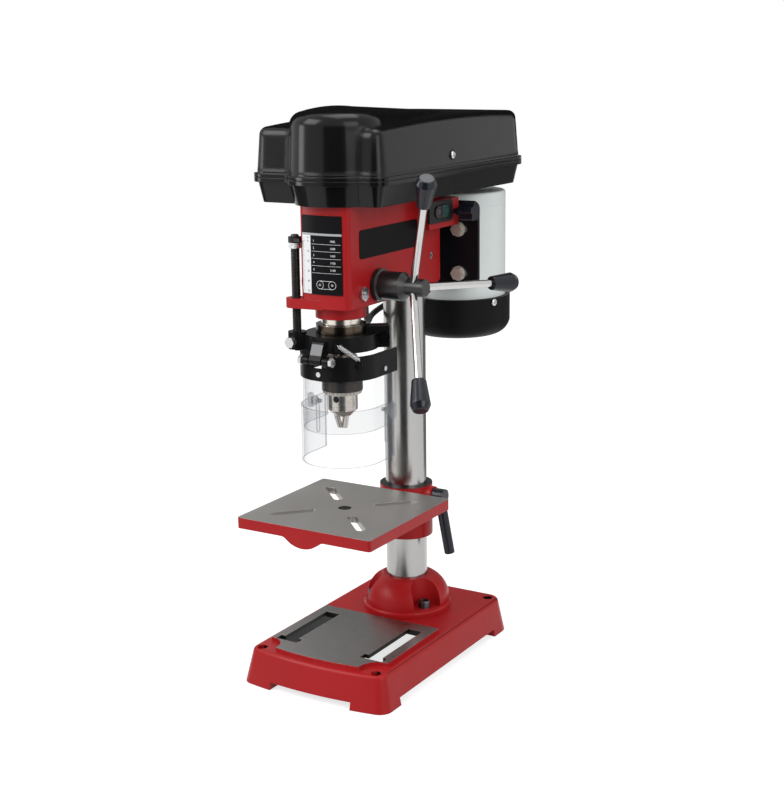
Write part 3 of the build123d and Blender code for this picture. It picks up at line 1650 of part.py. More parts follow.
def belt_cover_tray():
    outer_box, outer_bulge = cover_block(-tray_inset, 0, head_top, rim_split)
    grow_low = -tray_inset - cover_wall
    inner_box, inner_bulge = cover_block(grow_low, -cover_wall, head_top + tray_floor, rim_split + 1)
    tray = outer_box + outer_bulge - inner_box - inner_bulge
    tray += rim_ring(rim_low, rim_split, -cover_wall)
    knuckles = hinge_knuckles(0, rim_low, rim_split)
    tray += knuckles
    for place in hinge_places:
        tray -= lid_hinge_cut(place + hinge_knuckle)
    tray -= lengthwise(hinge_pin / 2 + running, -200, 400, hinge_line(), rim_split)
    tray -= upright(pulley_bearing_bore / 2 + 3, head_top - 1, rim_low, 0, spindle_y)
    slot = Rot(0, 0, 90) * SlotOverall(2 * shaft_radius + motor_slide + 8, 22)
    slot = Pos(0, motor_y - motor_slide / 2) * slot
    tray -= extrude(Pos(0, 0, head_top - 1) * slot, tray_floor + 2)
    return tray


def lid_hinge_cut(start):
    # room in the tray's rim for a knuckle of the lid to turn in
    return lengthwise(hinge_radius + 2 * gap, start - gap, start + hinge_knuckle, hinge_line(), rim_split)


def lid_main(inset, low):
    apex = lid_apex - inset
    box = loft([cover_plan(-inset, low), cover_plan(-inset - lid_inset, apex)], ruled=True)
    radius = (lid_apex_y - cover_front) ** 2 / (2 * lid_front_drop)
    box &= crosswise(radius, 2 * cover_left, 2 * cover_right, lid_apex_y, apex - radius)
    top = box.faces().filter_by(GeomType.CYLINDER).sort_by(SortBy.AREA)[-1]
    return fillet(top.edges(), max(1.0, lid_edge - inset))


def dome_half(half, low, top, scale, side):
    # one side of the dome's outline from its foot up to its crown
    foot = (side * (half + dome_draft), low)
    wall = (side * half, top - scale * dome_shoulder)
    turn = (side * 0.93 * half, top - scale * 0.58 * dome_shoulder)
    out = 0.76 * half
    fall = scale * dome_crown
    radius = (out**2 + fall**2) / (2 * fall)
    shoulder = (side * out, top - fall)
    slope = (side * out / 2, top - radius + math.sqrt(radius**2 - out**2 / 4))
    crown = (0, top)
    return [Line(foot, wall), ThreePointArc(wall, turn, shoulder), ThreePointArc(shoulder, slope, crown)]


def lid_dome(inset, low):
    wide = cover_bulge - dome_draft - inset
    top = dome_top - inset
    foot = wide + dome_draft
    cap_edges = dome_half(wide, low, top, 1.0, 1) + [Line((0, top), (0, low)), Line((0, low), (foot, low))]
    cap = Pos(0, spindle_y, 0) * revolve(Plane.XZ * make_face(cap_edges), Axis.Z)

    def section(y, half, high, scale):
        floor = Line((-half - dome_draft, low), (half + dome_draft, low))
        sides = dome_half(half, low, high, scale, 1) + dome_half(half, low, high, scale, -1)
        return Plane(origin=(0, y, 0), x_dir=(1, 0, 0), z_dir=(0, -1, 0)) * make_face(sides + [floor])

    start = section(spindle_y, wide, top, 1.0)
    end = section(dome_tail_y, dome_tail_half - inset, dome_tail_top - inset, dome_tail_scale)
    return cap + loft([start, end], ruled=True)


def belt_cover_lid():
    low = rim_split + gap
    outer = lid_main(0, low) + lid_dome(0, low)
    inner = lid_main(cover_wall, low - 1) + lid_dome(cover_wall, low - 1)
    lid = outer - inner
    lid += rim_ring(low, rim_high, -cover_wall)
    lid += hinge_knuckles(hinge_knuckle, low, rim_high)
    for place in hinge_places:
        end = place + hinge_knuckle - gap / 2
        lid -= lengthwise(hinge_radius + 2 * gap, place - gap, end, hinge_line(), rim_split)
    lid -= lengthwise(hinge_pin / 2 + running, -200, 400, hinge_line(), rim_split)
    lid -= crosswise(2 + running, 0, cover_right + 10, lid_screw_y, lid_screw_z)
    return lid


def lid_wall_at(height):
    rise = (height - rim_split - gap) / (lid_apex - rim_split - gap)
    return cover_right - lid_inset * rise


def lid_screw():
    face = lid_wall_at(lid_screw_z) + 0.4
    head = crosswise(lid_screw_head / 2, face, face + 2.6, lid_screw_y, lid_screw_z)
    head = fillet(head.edges().group_by(Axis.X)[-1], 1.2)
    return head + crosswise(2, face - 9, face + 0.1, lid_screw_y, lid_screw_z)


def lid_hinge_pins():
    pins = Part()
    for place in hinge_places:
        pins += lengthwise(hinge_pin / 2, place, place + 2 * hinge_knuckle, hinge_line(), rim_split)
    return pins


save("belt_cover_tray", belt_cover_tray())
save("belt_cover_lid", belt_cover_lid())
save("lid_screw", lid_screw())
save("lid_hinge_pins", lid_hinge_pins())


# Lead from the head to the motor, held at both ends
def lead_gland():
    inner = lead_diameter / 2 + running
    low = head_bottom - gland_length
    body = upright(lead_diameter / 2 + 1.5 - seat, low, pocket_floor, gland_x, gland_y)
    body += upright(lead_diameter / 2 + 3.5, low, head_bottom, gland_x, gland_y)
    return body - upright(inner, low - 1, pocket_floor + 1, gland_x, gland_y)


def motor_lead():
    entry = motor_entry_front() + 3
    side = -column_radius - 2 * lead_diameter
    points = [
        (gland_x, gland_y, head_bottom + 1),
        (gland_x, gland_y, head_bottom - 16),
        (gland_x - 4, gland_y + 9, head_bottom - 28.5),
        (gland_x - 13, gland_y + 26, head_bottom - 34),
        (side, column_y - 11, head_bottom - 32),
        (side, column_y + 15, head_bottom - 26),
        ((side + entry_x) / 2, entry - 32, entry_z - 4),
        (entry_x, entry - 17, entry_z),
        (entry_x, entry, entry_z),
    ]
    runs = [(Vector(*b) - Vector(*a)) for a, b in zip(points, points[1:])]
    radii = []
    for one, two in zip(runs, runs[1:]):
        turn = math.radians(one.get_angle(two))
        radii.append(0.45 * min(one.length, two.length) / math.tan(turn / 2))
    path = FilletPolyline(*points, radius=radii)
    tube_piece = sweep(Plane(origin=path @ 0, z_dir=path % 0) * Circle(lead_diameter / 2), path=path)
    ratio = tube_piece.volume / (math.pi * lead_diameter**2 / 4 * path.length)
    print("motor lead: radii", [round(r, 1) for r in radii], "length", round(path.length, 1))
    print("motor lead: volume over section times length", round(ratio, 4))
    return tube_piece


save("lead_gland", lead_gland())
save("motor_lead", motor_lead())
print(len(made), "nodes")
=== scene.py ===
import bpy
import math
from mathutils import Matrix, Vector


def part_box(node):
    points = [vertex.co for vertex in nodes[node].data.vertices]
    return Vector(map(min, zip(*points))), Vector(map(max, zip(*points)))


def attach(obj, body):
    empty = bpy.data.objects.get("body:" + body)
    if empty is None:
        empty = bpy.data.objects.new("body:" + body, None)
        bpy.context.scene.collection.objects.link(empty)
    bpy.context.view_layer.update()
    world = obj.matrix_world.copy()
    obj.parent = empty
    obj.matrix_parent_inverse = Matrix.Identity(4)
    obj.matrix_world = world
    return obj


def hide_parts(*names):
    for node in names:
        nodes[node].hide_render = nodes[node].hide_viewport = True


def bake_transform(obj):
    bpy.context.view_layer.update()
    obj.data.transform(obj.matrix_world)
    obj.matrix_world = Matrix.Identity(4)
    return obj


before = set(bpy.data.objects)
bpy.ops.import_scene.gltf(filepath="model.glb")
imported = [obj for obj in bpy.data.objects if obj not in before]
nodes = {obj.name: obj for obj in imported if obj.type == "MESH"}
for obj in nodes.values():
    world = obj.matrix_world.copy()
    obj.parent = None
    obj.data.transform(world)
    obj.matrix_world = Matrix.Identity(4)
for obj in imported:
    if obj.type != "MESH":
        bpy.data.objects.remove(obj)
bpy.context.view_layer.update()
scene = bpy.context.scene
scene.view_settings.view_transform = "Standard"
mm = 0.001
print("frame loaded:", len(nodes), "nodes")


# Small helpers for modelling by operators
def letGo():
    if bpy.context.object and bpy.context.object.mode != "OBJECT":
        bpy.ops.object.mode_set(mode="OBJECT")
    bpy.ops.object.select_all(action="DESELECT")


def pick(piece):
    letGo()
    piece.select_set(True)
    bpy.context.view_layer.objects.active = piece


def named(name):
    piece = bpy.context.object
    piece.name = name
    piece.data.name = name
    return piece


def settle(piece):
    pick(piece)
    bpy.ops.object.transform_apply(location=True, rotation=True, scale=True)
    return piece


def stand(piece, place, aim):
    # the piece's own Z goes along aim, then its place is put in the mesh
    turn = Vector((0, 0, 1)).rotation_difference(Vector(aim)).to_matrix().to_4x4()
    piece.matrix_world = Matrix.Translation(Vector(place)) @ turn
    return settle(piece)


def useModifier(piece, kind, **values):
    pick(piece)
    modifier = piece.modifiers.new(kind.lower(), kind)
    for key, value in values.items():
        setattr(modifier, key, value)
    bpy.ops.object.modifier_apply(modifier=modifier.name)


def joined(name, pieces):
    letGo()
    for piece in pieces:
        piece.select_set(True)
    bpy.context.view_layer.objects.active = pieces[0]
    if len(pieces) > 1:
        bpy.ops.object.join()
    return named(name)


def copied(piece, name):
    twin = piece.copy()
    twin.data = piece.data.copy()
    twin.name = name
    bpy.context.collection.objects.link(twin)
    return twin


def latheRings(name, rings, steps):
    # a closed turned form: a circle pulled up ring by ring, (radius, height) in mm
    letGo()
    radius, height = rings[0]
    bpy.ops.mesh.primitive_circle_add(
        vertices=steps, radius=radius * mm, fill_type="NGON", location=(0, 0, height * mm))
    piece = settle(named(name))
    bpy.ops.object.mode_set(mode="EDIT")
    bpy.ops.mesh.select_all(action="SELECT")
    for nextRadius, nextHeight in rings[1:]:
        bpy.ops.mesh.extrude_region_move(
            TRANSFORM_OT_translate={"value": (0, 0, (nextHeight - height) * mm)})
        size = nextRadius / radius
        bpy.ops.transform.resize(value=(size, size, 1), center_override=(0, 0, nextHeight * mm))
        radius, height = nextRadius, nextHeight
    bpy.ops.mesh.select_all(action="SELECT")
    bpy.ops.mesh.normals_make_consistent(inside=False)
    bpy.ops.object.mode_set(mode="OBJECT")
    return piece


def smoothBy(piece, degrees):
    pick(piece)
    bpy.ops.object.shade_smooth_by_angle(angle=math.radians(degrees))


def wear(piece, finish):
    piece.data.materials.clear()
    piece.data.materials.append(finish)


# Node groups shared by the finishes
noiseSpan = (0.3, 0.7)


def newGroup(name, inputs, outputs):
    group = bpy.data.node_groups.new(name, "ShaderNodeTree")
    for label, kind, value in inputs:
        socket = group.interface.new_socket(label, in_out="INPUT", socket_type=kind)
        socket.default_value = value
    for label, kind in outputs:
        group.interface.new_socket(label, in_out="OUTPUT", socket_type=kind)
    return group, group.nodes.new("NodeGroupInput").outputs, group.nodes.new("NodeGroupOutput")


def put(tree, kind, **settings):
    node = tree.nodes.new(kind)
    for key, value in settings.items():
        setattr(node, key, value)
    return node


def feed(tree, node, values):
    # an output is linked to the named input, a plain value is set on it
    for label, value in values.items():
        if isinstance(value, bpy.types.NodeSocket):
            tree.links.new(value, node.inputs[label])
        else:
            node.inputs[label].default_value = value


def maths(tree, work, *values):
    node = put(tree, "ShaderNodeMath", operation=work)
    feed(tree, node, dict(enumerate(values)))
    return node.outputs[0]


def vectors(tree, work, *values, result="Vector"):
    node = put(tree, "ShaderNodeVectorMath", operation=work)
    feed(tree, node, dict(enumerate(values)))
    return node.outputs[result]


def spread(tree, value, low, high):
    # noise around a half becomes low to high
    node = put(tree, "ShaderNodeMapRange")
    feed(tree, node, {"Value": value, "From Min": noiseSpan[0], "From Max": noiseSpan[1],
                      "To Min": low, "To Max": high})
    return node.outputs["Result"]


def around(tree, value, middle, less, more):
    # noise around a half becomes the middle less one depth to the middle and another
    return spread(tree, value, maths(tree, "SUBTRACT", middle, less), maths(tree, "ADD", middle, more))


def scaledColor(tree, color, amount):
    node = put(tree, "ShaderNodeVectorMath", operation="SCALE")
    feed(tree, node, {0: color, "Scale": amount})
    return node.outputs["Vector"]


def noiseAt(tree, place, scale, detail=3.0):
    node = put(tree, "ShaderNodeTexNoise")
    feed(tree, node, {"Vector": place, "Scale": scale, "Detail": detail})
    return node.outputs["Fac"]


def shared(tree, first, firstShare, second, secondShare):
    return maths(tree, "ADD", maths(tree, "MULTIPLY", first, firstShare),
                 maths(tree, "MULTIPLY", second, secondShare))


def objectPlace(tree):
    return put(tree, "ShaderNodeTexCoord").outputs["Object"]


colorIn = ("Color", "NodeSocketColor", (0.5, 0.5, 0.5, 1))
roughIn = ("Roughness", "NodeSocketFloat", 0.4)
skinOut = [("Color", "NodeSocketColor"), ("Roughness", "NodeSocketFloat"), ("Height", "NodeSocketFloat")]
coatedMake = {"smear": 55.0, "smearDetail": 4.0, "peelDetail": 2.0}


def makeCoatedSkin():
    # paint or moulded plastic: slow clouds of tone, a fine peel and uneven gloss
    group, given, end = newGroup("coatedSkin", [
        colorIn, roughIn,
        ("Cloud Scale", "NodeSocketFloat", 14.0), ("Cloud Depth", "NodeSocketFloat", 0.06),
        ("Peel Scale", "NodeSocketFloat", 700.0), ("Gloss Depth", "NodeSocketFloat", 0.05)], skinOut)
    place = objectPlace(group)
    cloud = noiseAt(group, place, given["Cloud Scale"])
    tone = around(group, cloud, 1.0, given["Cloud Depth"], given["Cloud Depth"])
    smear = noiseAt(group, place, coatedMake["smear"], coatedMake["smearDetail"])
    feed(group, end, {
        "Color": scaledColor(group, given["Color"], tone),
        "Roughness": around(group, smear, given["Roughness"], given["Gloss Depth"], given["Gloss Depth"]),
        "Height": noiseAt(group, place, given["Peel Scale"], coatedMake["peelDetail"])})
    return group


grainMake = {"grainDetail": 5.0, "grainShare": 0.7, "stain": 23.0, "stainShare": 0.3}


def makeMachinedGrain():
    # ground or brushed metal: noise drawn out along the tool's way
    group, given, end = newGroup("machinedGrain", [
        colorIn, roughIn,
        ("Stretch", "NodeSocketVector", (400.0, 400.0, 20.0)), ("Depth", "NodeSocketFloat", 0.12),
        ("Gloss Depth", "NodeSocketFloat", 0.07)], skinOut)
    place = objectPlace(group)
    drawn = vectors(group, "MULTIPLY", place, given["Stretch"])
    grain = noiseAt(group, drawn, 1.0, grainMake["grainDetail"])
    stain = noiseAt(group, place, grainMake["stain"])
    both = shared(group, grain, grainMake["grainShare"], stain, grainMake["stainShare"])
    tone = around(group, both, 1.0, given["Depth"], given["Depth"])
    feed(group, end, {
        "Color": scaledColor(group, given["Color"], tone),
        "Roughness": around(group, grain, given["Roughness"], given["Gloss Depth"], given["Gloss Depth"]),
        "Height": grain})
    return group


ringMake = {"drift": 60.0, "driftReach": 5.0, "wave": 0.2, "waveMiddle": 0.5, "ringShare": 0.5,
            "uneven": 17.0, "unevenDetail": 4.0, "unevenShare": 0.5, "glossLess": 0.07, "glossMore": 0.09}


def makeTurnedRings():
    # marks of a facing cut, in rings about a centre
    group, given, end = newGroup("turnedRings", [
        colorIn, roughIn,
        ("Centre", "NodeSocketVector", (0.0, 0.0, 0.0)), ("Across", "NodeSocketVector", (1.0, 1.0, 0.0)),
        ("Density", "NodeSocketFloat", 3000.0), ("Depth", "NodeSocketFloat", 0.12)], skinOut)
    place = objectPlace(group)
    flat = vectors(group, "MULTIPLY", vectors(group, "SUBTRACT", place, given["Centre"]), given["Across"])
    angle = maths(group, "MULTIPLY", vectors(group, "LENGTH", flat, result="Value"), given["Density"])
    drift = maths(group, "MULTIPLY", noiseAt(group, place, ringMake["drift"]), ringMake["driftReach"])
    wave = maths(group, "SINE", maths(group, "ADD", angle, drift))
    ring = maths(group, "ADD", maths(group, "MULTIPLY", wave, ringMake["wave"]), ringMake["waveMiddle"])
    uneven = noiseAt(group, place, ringMake["uneven"], ringMake["unevenDetail"])
    both = shared(group, ring, ringMake["ringShare"], uneven, ringMake["unevenShare"])
    tone = around(group, both, 1.0, given["Depth"], given["Depth"])
    feed(group, end, {
        "Color": scaledColor(group, given["Color"], tone),
        "Roughness": around(group, both, given["Roughness"], ringMake["glossLess"], ringMake["glossMore"]),
        "Height": ring})
    return group


rubMake = {"samples": 6, "sharpness": 5.0, "specks": 160.0, "speckDetail": 4.0, "least": 0.2}


def makeEdgeRub():
    # where the surface turns sharply, broken up by noise
    group, given, end = newGroup("edgeRub", [
        ("Radius", "NodeSocketFloat", 0.0006), ("Amount", "NodeSocketFloat", 0.5)],
        [("Mask", "NodeSocketFloat")])
    soft = put(group, "ShaderNodeBevel", samples=rubMake["samples"])
    feed(group, soft, {"Radius": given["Radius"]})
    face = put(group, "ShaderNodeNewGeometry")
    alike = vectors(group, "DOT_PRODUCT", soft.outputs["Normal"], face.outputs["Normal"], result="Value")
    sharp = maths(group, "MULTIPLY", maths(group, "SUBTRACT", 1.0, alike), rubMake["sharpness"])
    specks = noiseAt(group, objectPlace(group), rubMake["specks"], rubMake["speckDetail"])
    broken = maths(group, "MULTIPLY", sharp, spread(group, specks, rubMake["least"], 1.0))
    amount = maths(group, "MULTIPLY", broken, given["Amount"])
    feed(group, end, {"Mask": maths(group, "MINIMUM", amount, 1.0)})
    return group


coatedSkin = makeCoatedSkin()
machinedGrain = makeMachinedGrain()
turnedRings = makeTurnedRings()
edgeRub = makeEdgeRub()
print("node groups made")


# Finishes
edgeSamples = {"fine": 6, "broad": 16}
coatedRelief = 0.05
metalRelief = 0.03


def solid(color):
    return (*color, 1)


def placeGroup(tree, group, look):
    # an input takes the look's value of its name, as Cloud Scale takes cloudScale, or keeps its own
    node = put(tree, "ShaderNodeGroup", node_tree=group)
    for label in node.inputs.keys():
        key = label[0].lower() + label[1:].replace(" ", "")
        if key in look:
            feed(tree, node, {label: solid(look[key]) if key == "color" else look[key]})
    return node.outputs


def mixColor(tree, mask, first, second):
    # the mix node has its colours at 6 and 7 and its numbers at 2 and 3
    node = put(tree, "ShaderNodeMix", data_type="RGBA")
    feed(tree, node, {0: mask, 6: first, 7: second})
    return node.outputs[2]


def mixValue(tree, mask, first, second):
    node = put(tree, "ShaderNodeMix", data_type="FLOAT")
    feed(tree, node, {0: mask, 2: first, 3: second})
    return node.outputs[0]


def bareFinish(name):
    finish = bpy.data.materials.new(name)
    finish.use_nodes = True
    tree = finish.node_tree
    return finish, tree, tree.nodes["Principled BSDF"]


def placeParts(tree):
    parts = put(tree, "ShaderNodeSeparateXYZ")
    feed(tree, parts, {0: objectPlace(tree)})
    return parts.outputs


def beyond(tree, axis, level):
    # one past the given place in mm along an axis, nought before it
    return maths(tree, "GREATER_THAN", placeParts(tree)[axis], level * mm)


def inBox(tree, limits):
    # one inside the given limits in mm, nought outside
    parts = placeParts(tree)
    mask = None
    for axis, (low, high) in limits.items():
        above = maths(tree, "GREATER_THAN", parts[axis], low * mm)
        within = maths(tree, "MULTIPLY", above, maths(tree, "LESS_THAN", parts[axis], high * mm))
        mask = within if mask is None else maths(tree, "MULTIPLY", mask, within)
    return mask


def inHollow(tree, hollow):
    # one near an upright axis, between two heights
    parts = placeParts(tree)
    off = maths(tree, "SUBTRACT", parts["Y"], hollow["axisY"] * mm)
    square = shared(tree, parts["X"], parts["X"], off, off)
    near = maths(tree, "LESS_THAN", square, (hollow["within"] * mm)**2)
    return maths(tree, "MULTIPLY", near, inBox(tree, {"Z": hollow["height"]}))


def softEdges(tree, shader, height, edge, bump, depth, broad=None):
    # rounded edges in the shading, with the skin's fine relief over them
    relief = put(tree, "ShaderNodeBump")
    feed(tree, relief, {"Strength": bump, "Distance": depth * mm, "Height": height})
    if edge:
        corner = put(tree, "ShaderNodeBevel", samples=edgeSamples["broad" if broad else "fine"])
        radius = edge * mm
        if broad:
            radius = mixValue(tree, beyond(tree, "Z", broad["level"]), radius, broad["edge"] * mm)
        feed(tree, corner, {"Radius": radius})
        feed(tree, relief, {"Normal": corner.outputs["Normal"]})
    feed(tree, shader, {"Normal": relief.outputs["Normal"]})


def coatedFinish(name, look):
    finish, tree, shader = bareFinish(name)
    skin = placeGroup(tree, coatedSkin, look)
    color = skin["Color"]
    if "rubColor" in look:
        rub = placeGroup(tree, edgeRub, {"radius": look["edge"] * mm, "amount": look["rubAmount"]})
        color = mixColor(tree, rub["Mask"], color, solid(look["rubColor"]))
    # the top face above a level is coloured near black
    if "darkTop" in look:
        top = beyond(tree, "Z", look["darkTop"]["level"])
        color = mixColor(tree, top, color, solid(look["darkTop"]["color"]))
    if "patch" in look:
        color = mixColor(tree, inBox(tree, look["patch"]["limits"]), color, solid(look["patch"]["color"]))
    feed(tree, shader, {
        "Base Color": color, "Roughness": skin["Roughness"], "Coat Weight": look.get("coat", 0.0),
        "Coat Roughness": look.get("coatRoughness", 0.1), "Specular IOR Level": look.get("specular", 0.5)})
    softEdges(tree, shader, skin["Height"], look["edge"], look["bump"], coatedRelief, look.get("broad"))
    return finish


def metalFinish(name, look, group, bump):
    finish, tree, shader = bareFinish(name)
    skin = placeGroup(tree, group, look)
    color = skin["Color"]
    if "split" in look:
        far = beyond(tree, look["split"]["axis"], look["split"]["at"])
        color = mixColor(tree, far, solid(look["split"]["near"]), color)
    # painted shade: a hollow about an upright axis is coloured near black
    if "hollow" in look:
        color = mixColor(tree, inHollow(tree, look["hollow"]), color, solid(look["hollow"]["color"]))
    feed(tree, shader, {
        "Base Color": color, "Roughness": skin["Roughness"], "Metallic": look.get("metallic", 1.0)})
    softEdges(tree, shader, skin["Height"], look["edge"], look.get("bump", bump), metalRelief)
    return finish


def grainFinish(name, look):
    return metalFinish(name, look, machinedGrain, bump=0.08)


def ringFinish(name, look):
    return metalFinish(name, look, turnedRings, bump=0.06)


redPaint = {"color": (0.375, 0.0105, 0.0125), "roughness": 0.36, "cloudScale": 11.0, "cloudDepth": 0.05,
            "peelScale": 420.0, "specular": 0.18, "coat": 0.03, "coatRoughness": 0.18,
            "edge": 0.9, "bump": 0.10}


def castAndGround(name, ground):
    # red casting with a bare machined top face; its cut-out walls are bare too, or take a painted shade
    # colour; a hole about an upright axis can take a painted shade too
    finish, tree, shader = bareFinish(name)
    paint = placeGroup(tree, coatedSkin, redPaint)
    metal = placeGroup(tree, ground["cut"], ground)
    mask = beyond(tree, "Z", ground["level"])
    walls = inBox(tree, ground["cutWalls"])
    if "inside" in ground:
        walls = maths(tree, "MAXIMUM", walls, inBox(tree, ground["inside"]))
    if "wallShade" not in ground:
        mask = maths(tree, "MAXIMUM", mask, walls)
    color = mixColor(tree, mask, paint["Color"], metal["Color"])
    # painted shade: the slot walls and the hollow inside are coloured near black, where shade falls
    if "wallShade" in ground:
        color = mixColor(tree, walls, color, solid(ground["wallShade"]))
    # painted shade: the inside of the hole is coloured dark
    if "hole" in ground:
        color = mixColor(tree, inHollow(tree, ground["hole"]), color, solid(ground["hole"]["color"]))
    painted = maths(tree, "SUBTRACT", 1.0, mask)
    feed(tree, shader, {
        "Base Color": color, "Metallic": mask,
        "Roughness": mixValue(tree, mask, paint["Roughness"], metal["Roughness"]),
        "Coat Weight": maths(tree, "MULTIPLY", painted, redPaint["coat"]),
        "Coat Roughness": redPaint["coatRoughness"], "Specular IOR Level": redPaint["specular"]})
    height = mixValue(tree, mask, paint["Height"], metal["Height"])
    softEdges(tree, shader, height, ground["edge"], ground["bump"], coatedRelief)
    return finish


spindleY = -66.0
tableGround = {"cut": turnedRings, "level": 187.96, "color": (0.36, 0.345, 0.33), "roughness": 0.40,
               "centre": (0.0, spindleY * mm, 0.188), "density": 2600.0, "depth": 0.16, "edge": 0.6,
               "bump": 0.10,
               "cutWalls": {"X": (-73, 73), "Y": (-139, 7), "Z": (181.2, 188)},
               # painted shade: the wall of the centre hole is coloured dark
               "hole": {"axisY": spindleY, "within": 9.0, "height": (140, 187.9),
                        "color": (0.07, 0.066, 0.062)}}
baseGround = {"cut": machinedGrain, "level": 41.96, "color": (0.28, 0.274, 0.265), "roughness": 0.32,
              "stretch": (60.0, 1500.0, 1500.0), "depth": 0.05, "edge": 0.6, "bump": 0.10,
              # painted shade: near black on the slot walls and the hollow underside
              "wallShade": (0.008, 0.0075, 0.007),
              "cutWalls": {"X": (-67, 67), "Y": (-104.5, -12.5), "Z": (20, 41.9)},
              "inside": {"X": (-81, 81), "Y": (-118, 130), "Z": (-1, 37.4)}}
coverBlack = {"color": (0.005, 0.005, 0.0055), "roughness": 0.16, "cloudScale": 9.0, "cloudDepth": 0.1,
              "peelScale": 260.0, "glossDepth": 0.03, "edge": 1.2, "bump": 0.04, "specular": 0.2,
              "coat": 0.03, "broad": {"level": 539.5, "edge": 9.0}}
satinBlack = {"color": (0.011, 0.011, 0.012), "roughness": 0.32, "peelScale": 900.0, "edge": 0.6,
              "bump": 0.12, "rubColor": (0.10, 0.10, 0.105), "rubAmount": 0.3}
bandBlack = {"color": (0.0065, 0.0065, 0.007), "roughness": 0.30, "peelScale": 900.0, "edge": 0.6,
             "bump": 0.10, "specular": 0.1, "rubColor": (0.06, 0.06, 0.065), "rubAmount": 0.3}
holderBlack = dict(bandBlack, patch={
    "limits": {"X": (-6.6, 6.6), "Y": (-118, -106), "Z": (360.5, 371.0)}, "color": (0.22, 0.225, 0.23)})
mouldedBlack = {"color": (0.010, 0.010, 0.011), "roughness": 0.46, "peelScale": 1500.0, "edge": 0.5,
                "bump": 0.2, "specular": 0.25}
fanBlack = {"color": (0.0065, 0.0065, 0.007), "roughness": 0.42, "peelScale": 1100.0, "edge": 1.0,
            "bump": 0.16, "specular": 0.08}
plateBlack = {"color": (0.006, 0.007, 0.009), "roughness": 0.34, "peelScale": 800.0, "edge": 0.6,
              "bump": 0.12, "specular": 0.15, "rubColor": (0.09, 0.09, 0.09), "rubAmount": 0.3}
knobBlack = {"color": (0.010, 0.0115, 0.018), "roughness": 0.24, "peelScale": 500.0, "edge": 0.8,
             "bump": 0.05, "specular": 0.3, "coat": 0.05}
motorGrey = {"color": (0.74, 0.80, 0.785), "roughness": 0.44, "cloudScale": 8.0, "cloudDepth": 0.02,
             "peelScale": 620.0, "edge": 0.7, "bump": 0.12}
rubberBlack = {"color": (0.010, 0.010, 0.011), "roughness": 0.55, "peelScale": 1300.0, "edge": 0.0,
               "bump": 0.2}
buttonPlastic = {"roughness": 0.38, "peelScale": 1200.0, "edge": 0.4, "bump": 0.12}
buttonGreen = dict(buttonPlastic, color=(0.012, 0.052, 0.045))
buttonDark = dict(buttonPlastic, color=(0.016, 0.009, 0.009))
plainInk = {"roughness": 0.45, "peelScale": 900.0, "edge": 0.0, "bump": 0.05}
columnSteel = {"color": (0.40, 0.396, 0.39), "roughness": 0.23, "stretch": (30.0, 30.0, 2200.0), "edge": 0.5,
               "depth": 0.03, "glossDepth": 0.02, "bump": 0.015}
zincPlate = {"color": (0.56, 0.56, 0.57), "roughness": 0.30, "stretch": (500.0, 500.0, 500.0), "edge": 0.3}
boltBlue = {"color": (0.13, 0.155, 0.17), "roughness": 0.36, "stretch": (500.0, 500.0, 500.0), "edge": 0.4}
nickelWarm = {"color": (0.60, 0.555, 0.49), "roughness": 0.36, "stretch": (400.0, 400.0, 400.0), "edge": 0.4,
              "metallic": 0.45}
leverChrome = {"color": (0.54, 0.533, 0.525), "roughness": 0.14, "stretch": (90.0, 90.0, 90.0), "edge": 0.3,
               "depth": 0.04, "bump": 0.02}
quillSteel = {"color": (0.70, 0.655, 0.60), "roughness": 0.22, "stretch": (50.0, 50.0, 1800.0), "edge": 0.4,
              "glossDepth": 0.04, "split": {"axis": "Z", "at": 386.5, "near": (0.085, 0.066, 0.050)}}
spindleSteel = {"color": (0.40, 0.37, 0.335), "roughness": 0.26, "stretch": (50.0, 50.0, 1800.0), "edge": 0.4}
clampSteel = {"color": (0.012, 0.012, 0.013), "roughness": 0.32, "stretch": (500.0, 500.0, 500.0),
              "edge": 0.3, "split": {"axis": "X", "at": 0.0, "near": (0.56, 0.56, 0.57)}}
innerSteel = {"color": (0.45, 0.45, 0.46), "roughness": 0.30, "stretch": (300.0, 300.0, 300.0), "edge": 0.3}
stripBlue = {"color": (0.16, 0.17, 0.20), "roughness": 0.32, "stretch": (1500.0, 60.0, 60.0), "edge": 0.0}
oiledRod = {"color": (0.030, 0.029, 0.027), "roughness": 0.34, "stretch": (300.0, 300.0, 300.0), "edge": 0.0,
            "metallic": 0.6}
chuckBare = {"color": (0.64, 0.59, 0.535), "roughness": 0.24, "centre": (0.0, spindleY * mm, 0.3),
             "across": (0.0, 0.0, 1.0), "density": 5200.0, "edge": 0.4, "depth": 0.10,
             # painted shade: inside the chuck, near the spindle axis, is coloured near black
             "hollow": {"axisY": spindleY, "within": 15.3, "height": (304.0, 313.0),
                        "color": (0.012, 0.010, 0.009)}}
chuckOiled = {"color": (0.046, 0.033, 0.024), "roughness": 0.33, "centre": (0.0, spindleY * mm, 0.3),
              "across": (0.0, 0.0, 1.0), "density": 4200.0, "edge": 0.2, "depth": 0.14,
              "split": {"axis": "Z", "at": 316.6, "near": (0.56, 0.52, 0.47)}}
pulleyTurned = {"color": (0.62, 0.62, 0.64), "roughness": 0.30, "centre": (0.0, 0.0, 0.5),
                "across": (0.0, 0.0, 1.0), "density": 5000.0, "edge": 0.3}
clearPlastic = {"cloudDepth": 0.02, "peelScale": 90.0, "glossDepth": 0.02, "bump": 0.02, "axisY": spindleY,
                "rimBlend": 0.35, "rimPower": 3.0, "cutTurn": 0.6}
shieldClear = dict(clearPlastic, color=(0.16, 0.19, 0.23), roughness=0.06,
                   seenThrough=0.07, seenEdge=0.6, seenRim=0.5)
wingClear = dict(clearPlastic, color=(0.42, 0.44, 0.47), roughness=0.10,
                 seenThrough=0.22, seenEdge=0.80, seenRim=0.38)


